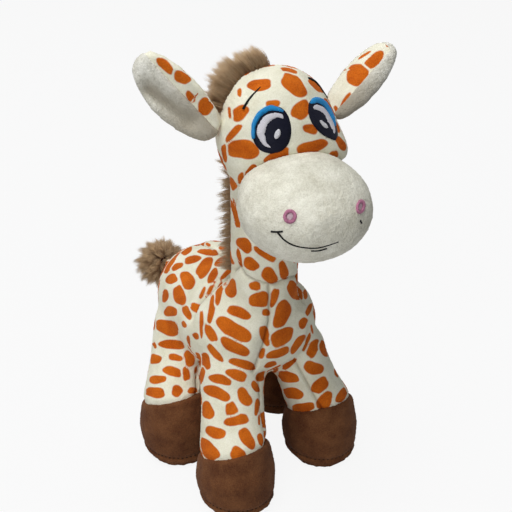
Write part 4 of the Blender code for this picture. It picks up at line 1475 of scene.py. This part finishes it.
def stitched_pad(bm, one_side, other_side, height, material, closed=False):
    """Add a pad between two curves of the photograph, with its rows of thread across it."""
    count = len(one_side) - 1
    part = bmesh.new()
    bmesh.ops.create_grid(part, x_segments=count, y_segments=PAD_ACROSS, size=0.5)
    thread = part.verts.layers.float.new("thread")
    tops = {}
    length = 0.0
    lengths = [0.0]
    for step in range(count):
        here, _ = on_head((one_side[step] + other_side[step]) / 2)
        there, _ = on_head((one_side[step + 1] + other_side[step + 1]) / 2)
        length += (there - here).length
        lengths.append(length)
    for vertex in part.verts:
        step = round((vertex.co.x + 0.5) * count)
        share = vertex.co.y + 0.5
        pixel = one_side[step] * (1 - share) + other_side[step] * share
        place, normal = on_head(pixel)
        swell = 1 - abs(2 * share - 1) ** EDGE_POWER
        if not closed:
            swell *= 1 - abs(2 * step / count - 1) ** (EDGE_POWER * 2)
        vertex.co = place - normal * PAD_SINK
        vertex[thread] = lengths[step] / THREAD_ROW
        rise = height * (EDGE_HEIGHT_SHARE + (1 - EDGE_HEIGHT_SHARE) * swell)
        tops[vertex.index] = (place + normal * rise, vertex[thread])
    part.verts.ensure_lookup_table()
    order = [tops[vertex.index] for vertex in part.verts]
    raised = bmesh.ops.extrude_face_region(part, geom=list(part.faces), use_keep_orig=True)
    lifted = [item for item in raised["geom"] if isinstance(item, bmesh.types.BMVert)]
    part.verts.ensure_lookup_table()
    below = KDTree(len(order))
    for index in range(len(order)):
        below.insert(part.verts[index].co, index)
    below.balance()
    for vertex in lifted:
        top, value = order[below.find(vertex.co)[1]]
        vertex.co = top
        vertex[thread] = value
    if closed:
        bmesh.ops.remove_doubles(part, verts=part.verts, dist=PAD_JOIN_REACH)
        inner = [
            face for face in part.faces if sum(not edge.is_manifold for edge in face.edges) > 1
        ]
        bmesh.ops.delete(part, geom=inner, context="FACES")
    for face in part.faces:
        face.material_index = material
    bmesh.ops.recalc_face_normals(part, faces=part.faces)
    mesh = bpy.data.meshes.new("pad")
    part.to_mesh(mesh)
    part.free()
    bm.from_mesh(mesh)
    bpy.data.meshes.remove(mesh)


def oval_pad(bm, oval, height, material, count=22):
    """Add a stitched oval."""
    one_side = ring_round(*oval, count, 180.0, 360.0)
    other_side = ring_round(*oval, count, 180.0, 0.0)
    stitched_pad(bm, one_side, other_side, height, material)


# %% [markdown]
# ## Eyes
#
# Each eye is sewn in four threads, one over the other. The outlines of the fields were read off the
# photograph, most of them as two curves from one end of the field to the other, and the highlight as
# an oval. The far eye isn't a mirror image, because the camera sees it nearly from the side.

# %% Eyes
EYE_STEPS = 34
EYE_RIGHT = {
    "ground": (
        ((271, 105.7), (262, 109), (254.5, 118), (251.8, 130), (254, 142), (261, 150.5), (271, 153.7)),
        ((271, 105.7), (281.5, 108), (288.5, 117), (291.2, 130), (289, 142), (282, 150.5), (271, 153.7)),
    ),
    "white": (
        ((283.6, 118), (281, 113.5), (271, 112.8), (261.8, 118.3), (256.5, 131), (260, 140.5), (265, 146),
         (272, 148.2)),
        ((283.6, 119), (280, 118.2), (275.6, 118.3), (268.7, 124), (265.8, 132), (266, 137), (267.4, 142.5),
         (271.6, 147.6)),
    ),
    "lid": (
        ((252, 139), (251.3, 130), (252.8, 121), (259.5, 111), (271, 105.2), (284.2, 110.3)),
        ((255.3, 138), (255.4, 130), (256.7, 124), (262, 116), (271, 111), (283, 112.5)),
    ),
    "light": (277.3, 133.9, 5.0, 2.9, -70),
}
EYE_LEFT = {
    "ground": (
        ((313, 97.8), (309, 103), (308.3, 112.6), (311.2, 121.8), (317, 129.8), (323.9, 135.6),
         (333.5, 140.2)),
        ((314, 97.6), (319, 98.5), (324.5, 102.5), (330.7, 113.7), (335.3, 124), (337.6, 134.4),
         (335.3, 140.2)),
    ),
    "white": (
        ((311.2, 105), (317, 104.3), (324.4, 108.6), (330.7, 118.3), (334.2, 127.5), (334.6, 134.4)),
        ((311.2, 110.9), (317, 110.9), (322.5, 114.5), (327.4, 122.9), (331, 129.8), (333, 134.4)),
    ),
    "lid": (
        ((309, 103), (313, 98), (319, 98), (325.5, 102.5), (331.9, 113.2), (335.9, 125.2)),
        ((311.2, 104.5), (314, 103.8), (318, 103.8), (324, 108), (329.7, 117.5), (334, 127)),
    ),
    "light": (322.9, 124.4, 5.2, 2.2, 45),
}
EYE_HEIGHTS = {"ground": 0.0006, "white": 0.0009, "lid": 0.0013, "light": 0.0012}
EYE_THREADS = (NAVY, LILAC, BLUE, WHITE)


def eye_piece(side, shapes):
    """One embroidered eye in four threads."""
    bm = bmesh.new()
    for index, (part, height) in enumerate(EYE_HEIGHTS.items()):
        if part == "light":
            oval_pad(bm, shapes[part], height, index)
            continue
        one_side, other_side = (curve_through(points, EYE_STEPS) for points in shapes[part])
        stitched_pad(bm, one_side, other_side, height, index)
    piece = made_piece("eye_threads_" + side, bm, *EYE_THREADS)
    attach(piece, "head")
    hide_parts("eye_" + side)
    return piece


eyes = [eye_piece("right", EYE_RIGHT), eye_piece("left", EYE_LEFT)]
print("eyes:", [len(piece.data.polygons) for piece in eyes], "faces")

# %% [markdown]
# ## Nostrils
#
# A nostril is a small ring of pink satin stitch round a paler middle. The ring is the same pad as
# before, bent round until its ends meet, and the middle is a thin oval pad.

# %% Nostrils
MIDDLE_STEPS = 14
NOSTRILS = {"right": (290, 216.5, 7.3, 6.8, 100), "left": (360.3, 206.8, 7.3, 4.4, 100)}
RING_SHARE = 0.5
RING_STEPS = 30
RING_HEIGHT = 0.0008
RING_FLOOR = 0.0002


def nostril_piece(side, oval):
    """A small ring of pink thread round a paler middle."""
    across, down, half_long, half_wide, turn = oval
    inner = (across, down, half_long * RING_SHARE, half_wide * RING_SHARE, turn)
    bm = bmesh.new()
    outer_ring = ring_round(*oval, RING_STEPS)
    inner_ring = ring_round(*inner, RING_STEPS)
    stitched_pad(bm, outer_ring, inner_ring, RING_HEIGHT, 0, closed=True)
    oval_pad(bm, inner, RING_FLOOR, 1, MIDDLE_STEPS)
    piece = made_piece("nostril_threads_" + side, bm, PINK, PALE_PINK)
    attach(piece, "head")
    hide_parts("nostril_" + side)
    return piece


nostrils = [nostril_piece(side, oval) for side, oval in NOSTRILS.items()]
print("nostrils:", [len(piece.data.polygons) for piece in nostrils], "faces")

# %% [markdown]
# ## Smile and brows
#
# The smile, the lower lip, the dimples and the brows are single lines of black thread. A thread is a
# curve with a round bevel, and the radius of each point lets a brow swell at one end.

# %% Thread lines
THREAD_LINES = {
    "smile_thread": (
        ((277.9, 232.7), (284.8, 240.2), (294, 245.3), (305.5, 247.6), (317, 248), (328.4, 245.3),
         (338.2, 241.9)), 0.00042, 0.00022,
    ),
    "dimple_thread": (((271, 231.4), (277, 231.9), (283, 231.4)), 0.00045, 0.00045),
    "lip_thread": (((311.2, 250.9), (319.3, 250.5), (326.7, 248.4)), 0.00034, 0.00034),
    "far_dimple_thread": (((359.8, 220.6), (361.4, 223)), 0.00045, 0.00045),
    "brow_thread_right": (((260.5, 87), (251.5, 96.4), (247, 103), (243.6, 109.3)), 0.00025, 0.00070),
    "brow_thread_left": (
        ((308.3, 78.6), (313.3, 80.7), (318.6, 85.7), (326, 96), (332.5, 105.5)), 0.00065, 0.00018,
    ),
}
THREAD_STEP = 0.0012
THREAD_SIDES_RESOLUTION = 2
THREAD_FEWEST_STEPS = 5
THREAD_PROUD_SHARE = 0.4


def thread_piece(name, points, first_radius, last_radius):
    """One line of thread on the head."""
    length = np.linalg.norm(np.diff(np.array(points), axis=0), axis=1).sum() / PIXELS_PER_METRE
    count = max(THREAD_FEWEST_STEPS, round(length / THREAD_STEP))
    line = bpy.data.curves.new(name, "CURVE")
    line.dimensions = "3D"
    line.bevel_depth = 1.0
    line.bevel_resolution = THREAD_SIDES_RESOLUTION
    line.use_fill_caps = True
    spline = line.splines.new("POLY")
    spline.points.add(count - 1)
    for index, pixel in enumerate(curve_through(points, count)):
        place, normal = on_head(pixel)
        radius = first_radius + (last_radius - first_radius) * index / (count - 1)
        spline.points[index].co = (*(place + normal * (radius * THREAD_PROUD_SHARE)), 1.0)
        spline.points[index].radius = radius
    holder = placed(name + "_curve", line)
    graph = bpy.context.evaluated_depsgraph_get()
    bm = bmesh.new()
    bm.from_mesh(holder.evaluated_get(graph).to_mesh())
    bpy.data.objects.remove(holder)
    bmesh.ops.remove_doubles(bm, verts=bm.verts, dist=MERGE_REACH)
    piece = made_piece(name, bm, BLACK)
    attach(piece, "head")
    return piece


for name, details in THREAD_LINES.items():
    thread_piece(name, *details)
print("thread lines:", len(THREAD_LINES))

# %% [markdown]
# ## Fur
#
# The mane, the forelock and the tail's tuft are long fur, and fur needs strands: a solid with a rough
# bump never gives the ragged outline. Blender's hair would not leave the program as a mesh, so one
# strand is made from a cone, cut into a few lengths, and copied thousands of times over the skin.
# Each copy bends towards the way that the fur is brushed, and strands near each other lean together
# at their tips, which makes locks.

# %% One strand, and a coat of them
STRAND_CUTS = (-0.2, 0.15)
CLUMP_PULL = 0.68
LENGTH_SPREAD = (0.55, 1.1)
STRAND_RADIUS = 0.0002
STRAND_SPLAY = 0.18
MOST_SHADE = 0.55
ROOT_JITTER = 0.00045
ROOT_SINK = 0.0006


def strand_template():
    """The points of one strand, with a height from 0 to 1, and its faces."""
    bm = bmesh.new()
    bmesh.ops.create_cone(bm, cap_ends=True, segments=3, radius1=1.0, radius2=0.0, depth=1.0)
    for height in STRAND_CUTS:
        bmesh.ops.bisect_plane(
            bm, geom=[*bm.verts, *bm.edges, *bm.faces], plane_co=Vector((0, 0, height)), plane_no=UPWARD,
        )
    bmesh.ops.recalc_face_normals(bm, faces=bm.faces)
    bm.verts.index_update()
    points = np.array([vertex.co for vertex in bm.verts])
    points[:, 2] += 0.5
    faces = [[vertex.index for vertex in face.verts] for face in bm.faces]
    bm.free()
    return points, faces


STRAND_POINTS, STRAND_FACES = strand_template()


def unit(vectors):
    return vectors / np.maximum(np.linalg.norm(vectors, axis=-1, keepdims=True), MERGE_REACH)


def coat(name, roots, outward, brushed, length, clumps, material, thickness=STRAND_RADIUS):
    """A mesh of strands. A strand starts outward and bends over to the way it is brushed."""
    total = len(roots)
    lengths = length * rng.uniform(*LENGTH_SPREAD, total)
    outward = unit(outward + rng.normal(0, STRAND_SPLAY, (total, 3)))
    tips = roots + (outward + brushed) * lengths[:, None]
    leaders = rng.choice(total, clumps, replace=False)
    tree = KDTree(clumps)
    for index, leader in enumerate(leaders):
        tree.insert(Vector(roots[leader]), index)
    tree.balance()
    own = np.array([leaders[tree.find(Vector(root))[1]] for root in roots])
    pull = (tips[own] - tips) * CLUMP_PULL
    side = unit(np.cross(outward, rng.normal(0, 1, (total, 3))))
    other = unit(np.cross(outward, side))
    height = STRAND_POINTS[None, :, 2:3]
    start = roots[:, None, :]
    reach = outward[:, None, :] * lengths[:, None, None]
    bend = brushed[:, None, :] * lengths[:, None, None]
    spread = side[:, None, :] * STRAND_POINTS[None, :, 0:1]
    spread = spread + other[:, None, :] * STRAND_POINTS[None, :, 1:2]
    points = start + reach * height + (bend + pull[:, None, :]) * height ** 2 + spread * thickness
    count = len(STRAND_POINTS)
    faces = [
        [index * count + corner for corner in face] for index in range(total) for face in STRAND_FACES
    ]
    mesh = bpy.data.meshes.new(name)
    mesh.from_pydata(points.reshape(-1, 3).tolist(), [], faces)
    keep_values(mesh, "along", np.tile(STRAND_POINTS[:, 2], total))
    keep_values(mesh, "shade", np.repeat(rng.uniform(0, MOST_SHADE, total), count))
    mesh.shade_smooth()
    mesh.materials.append(material)
    print(name, total, "strands")
    return placed(name, mesh)


def chosen_roots(piece, wanted, total):
    """Random points of a surface near some of its vertices, with their normals."""
    points = points_of(piece)
    normals = normals_of(piece)
    found = np.nonzero(wanted(points))[0]
    picked = rng.choice(found, total)
    jitter = rng.normal(0, ROOT_JITTER, (total, 3))
    return points[picked] + jitter - normals[picked] * ROOT_SINK, normals[picked]


# %% [markdown]
# ## Mane and forelock
#
# The mane is a strip of long-pile fabric sewn down the back of neck and head, and the forelock is its
# end, which stands up over the crown. Each part of the strip grows on the part of the skin below it.
# Where the fur ends on the head was read off the photograph as a line.

# %% Mane and forelock
MANE_LOW_Z = 0.122
MANE_FIRST_DEG = -14.0
MANE_LAST_DEG = 36.0
CROWN_LOW_Z = 0.2275
CROWN_LEFT = 0.0030
CROWN_RIGHT = 0.0110
CROWN_FRONT = 0.0060
HEAD_AXIS = np.array(JOINT["head_turn"])
MANE_LENGTH = 0.0084
HEAD_MANE_LENGTH = 0.0078
FORELOCK_LENGTH = 0.0098
BRUSHED_MANE = np.array([-0.35, 0.10, -0.30])
BRUSHED_HEAD = np.array([-0.25, 0.10, 0.30])
BRUSHED_FORELOCK = np.array([-0.40, 0.15, 0.15])
FUR_EDGE = ((231, 107), (238, 87), (270, 64))
FUR_EDGE_LOW = 112.0
FUR_EDGE_LAST_DEG = 100.0


def bearing_of(points):
    """How far round the neck's axis points lie, in degrees from the back to the toy's right."""
    out = points - HEAD_AXIS
    return np.degrees(np.arctan2(-out[:, 0], out[:, 1]))


def on_back(points):
    """The strip down the back of neck and head, a little to the toy's right."""
    bearing = bearing_of(points)
    return (bearing > MANE_FIRST_DEG) & (bearing < MANE_LAST_DEG) & (points[:, 2] > MANE_LOW_Z)


def past_fur_edge(points):
    """Whether points lie past the line at which the fur ends on the photograph."""
    _, lower, _ = beside_line(points, FUR_EDGE[:2])
    _, upper, _ = beside_line(points, FUR_EDGE[1:])
    return (lower < 0) | (upper < 0)


def on_head_back(points):
    """The back of the head, and round its right side as far as the fur's edge."""
    bearing = bearing_of(points)
    _, down, _ = photo_place(points)
    beside = (bearing > MANE_FIRST_DEG) & (bearing < FUR_EDGE_LAST_DEG) & (down < FUR_EDGE_LOW)
    return (on_back(points) | (beside & past_fur_edge(points))) & (points[:, 2] < CROWN_LOW_Z)


def on_crown(points):
    """The strip over the crown, where the forelock stands."""
    out = points - HEAD_AXIS
    beside = (out[:, 0] > -CROWN_RIGHT) & (out[:, 0] < CROWN_LEFT) & (out[:, 1] > -CROWN_FRONT)
    beside |= (bearing_of(points) > 0) & (bearing_of(points) < FUR_EDGE_LAST_DEG)
    return beside & past_fur_edge(points) & (points[:, 2] > CROWN_LOW_Z)


def fur_strip(name, piece, wanted, total, length, brushed, clumps):
    """A number of strands, in a number of locks, on the wanted part of a piece."""
    roots, normals = chosen_roots(piece, wanted, total)
    flow = np.broadcast_to(brushed, roots.shape)
    return coat(name, roots, normals, flow, length, clumps, MANE_FUR)


FUR_STRIPS = (
    ("mane_low_fur", "neck_low_cover", on_back, 2800, MANE_LENGTH, BRUSHED_MANE, 120),
    ("mane_high_fur", "neck_high_cover", on_back, 2800, MANE_LENGTH, BRUSHED_MANE, 120),
    ("mane_head_fur", "head_top_cover", on_head_back, 7000, HEAD_MANE_LENGTH, BRUSHED_HEAD, 260),
    ("forelock_fur", "head_top_cover", on_crown, 5000, FORELOCK_LENGTH, BRUSHED_FORELOCK, 150),
)
mane_low, mane_high, mane_head, forelock = [
    fur_strip(name, covers[cover], *details) for name, cover, *details in FUR_STRIPS
]

# %% [markdown]
# ## The tail's tuft
#
# The tuft is a small ball of long fur round the end of the tail. Its strands grow from a core that is
# smaller than the ball, and the core has the fur's colour, so that nothing pale shows between them.

# %% Tail tuft
TUFT_SINK = 0.0060
TUFT_STRANDS = 7500
TUFT_LENGTH = 0.0105
TUFT_CLUMPS = 240
BRUSHED_TUFT = np.array([0.0, 0.25, -0.25])
TUFT_JITTER = 0.0004

tuft_core = soft_copy("tail_core", ["tail_tuft"], SMALL_VOXEL * 1.5, -TUFT_SINK / 2, 3)
grown(tuft_core, -TUFT_SINK / 2)
core_points = points_of(tuft_core)
core_normals = normals_of(tuft_core)
picked = rng.choice(len(core_points), TUFT_STRANDS)
tuft_roots = core_points[picked] + rng.normal(0, TUFT_JITTER, (TUFT_STRANDS, 3))
tuft = coat(
    "tail_tuft_fur", tuft_roots, core_normals[picked],
    np.broadcast_to(BRUSHED_TUFT, (TUFT_STRANDS, 3)), TUFT_LENGTH, TUFT_CLUMPS, TAIL_FUR,
)
for title in ("along", "shade"):
    keep_values(tuft_core.data, title, np.zeros(len(core_points)))
wear(tuft_core, TAIL_FUR)

# %% [markdown]
# ## Soles
#
# The sole of each foot is cut rounder than the floor it stands on, so its seam lies a little above the
# floor. The seam is oversewn: a stitch is a tiny ball pulled long, and a loop sets one every couple
# of millimetres round the foot, in the groove.

# %% Sole stitches
STITCH_SPACING = 0.0023
STITCH_HALF = Vector((0.0008, 0.0003, 0.0004))
STITCH_RAY = 0.1


def stitched_rim(leg):
    """A ring of stitches where the sole meets the foot."""
    rim_tree = surface_tree(hooves[leg])
    low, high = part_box("hoof_sole_" + leg)
    centre = (low + high) / 2
    centre.z = SOLE_SEAM_Z
    around = math.pi * (high.x - low.x + high.y - low.y) / 2
    count = round(around / STITCH_SPACING)
    bm = bmesh.new()
    for index in range(count):
        angle = 2 * math.pi * index / count
        away = Vector((math.cos(angle), math.sin(angle), 0.0))
        place = rim_tree.ray_cast(centre + away * STITCH_RAY, -away)[0]
        made = bmesh.ops.create_icosphere(bm, subdivisions=1, radius=1.0)
        bmesh.ops.scale(bm, verts=made["verts"], vec=STITCH_HALF)
        turn = Matrix.Rotation(angle + math.pi / 2, 3, "Z")
        bmesh.ops.rotate(bm, verts=made["verts"], cent=Vector(), matrix=turn)
        bmesh.ops.translate(bm, verts=made["verts"], vec=place)
    return made_piece("sole_stitches_" + leg, bm, DARK)


stitches = {leg: stitched_rim(leg) for leg in LEGS}
print("sole stitches on", len(stitches), "feet")

# %% [markdown]
# ## Carry the pieces
#
# Each piece that doesn't cross a joint rides on the body that carries it. Fabric that crosses a joint
# keeps its place, with its transform worked into its mesh.

# %% Legs and feet
for leg in LEGS:
    body = "leg_" + leg
    cover = covers["leg_cover_pile_" + leg]
    start, end = leg_cut(leg)
    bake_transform(cover)
    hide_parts("leg_cover_" + leg, "leg_filling_" + leg)
    for piece, node in ((hooves[leg], "hoof_cover_" + leg), (soles[leg], "hoof_sole_" + leg)):
        wear(piece, BROWN)
        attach(piece, body)
        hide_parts(node)
    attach(stitches[leg], body)
print("legs carried:", len(LEGS))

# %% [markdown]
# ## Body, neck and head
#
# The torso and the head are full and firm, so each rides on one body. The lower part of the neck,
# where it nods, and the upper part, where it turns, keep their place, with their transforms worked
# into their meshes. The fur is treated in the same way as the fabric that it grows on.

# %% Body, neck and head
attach(covers["torso_cover"], "torso")
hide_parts("body_panel_left", "body_panel_right", "body_filling")
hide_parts("neck_cover", "neck_filling")
for piece in (covers["neck_low_cover"], mane_low):
    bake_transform(piece)
for piece in (covers["neck_high_cover"], mane_high):
    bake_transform(piece)
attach(covers["head_top_cover"], "head")
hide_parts("head_cover", "head_filling")
wear(muzzle, PLAIN)
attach(muzzle, "head")
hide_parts("muzzle_cover")
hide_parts("neck_mane")
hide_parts("forelock")
for piece in (mane_head, forelock):
    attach(piece, "head")
print("neck blended up to", round(NECK_TWIST_HIGH.z, 3), "m")

# %% [markdown]
# ## Ears and tail
#
# An ear is sewn on at its root and flaps there, and the tail's stub gives where it leaves the body.
# Both layers of each ear and the tail's stub keep their place, with their transforms worked into
# their meshes, and the tuft rides on the tail.

# %% Ears and tail
for side in SIDES:
    for piece, look, slot_name, node in (
        (ear_backs[side], PRINTED, "printed_pile", "ear_back_" + side),
        (ear_linings[side], LINING, "plain_pile", "ear_lining_" + side),
    ):
        wear(piece, look)
        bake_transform(piece)
        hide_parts(node)
wear(tail, PRINTED)
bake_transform(tail)
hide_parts("tail_stub")
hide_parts("tail_tuft")
for piece in (tuft, tuft_core):
    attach(piece, "tail")
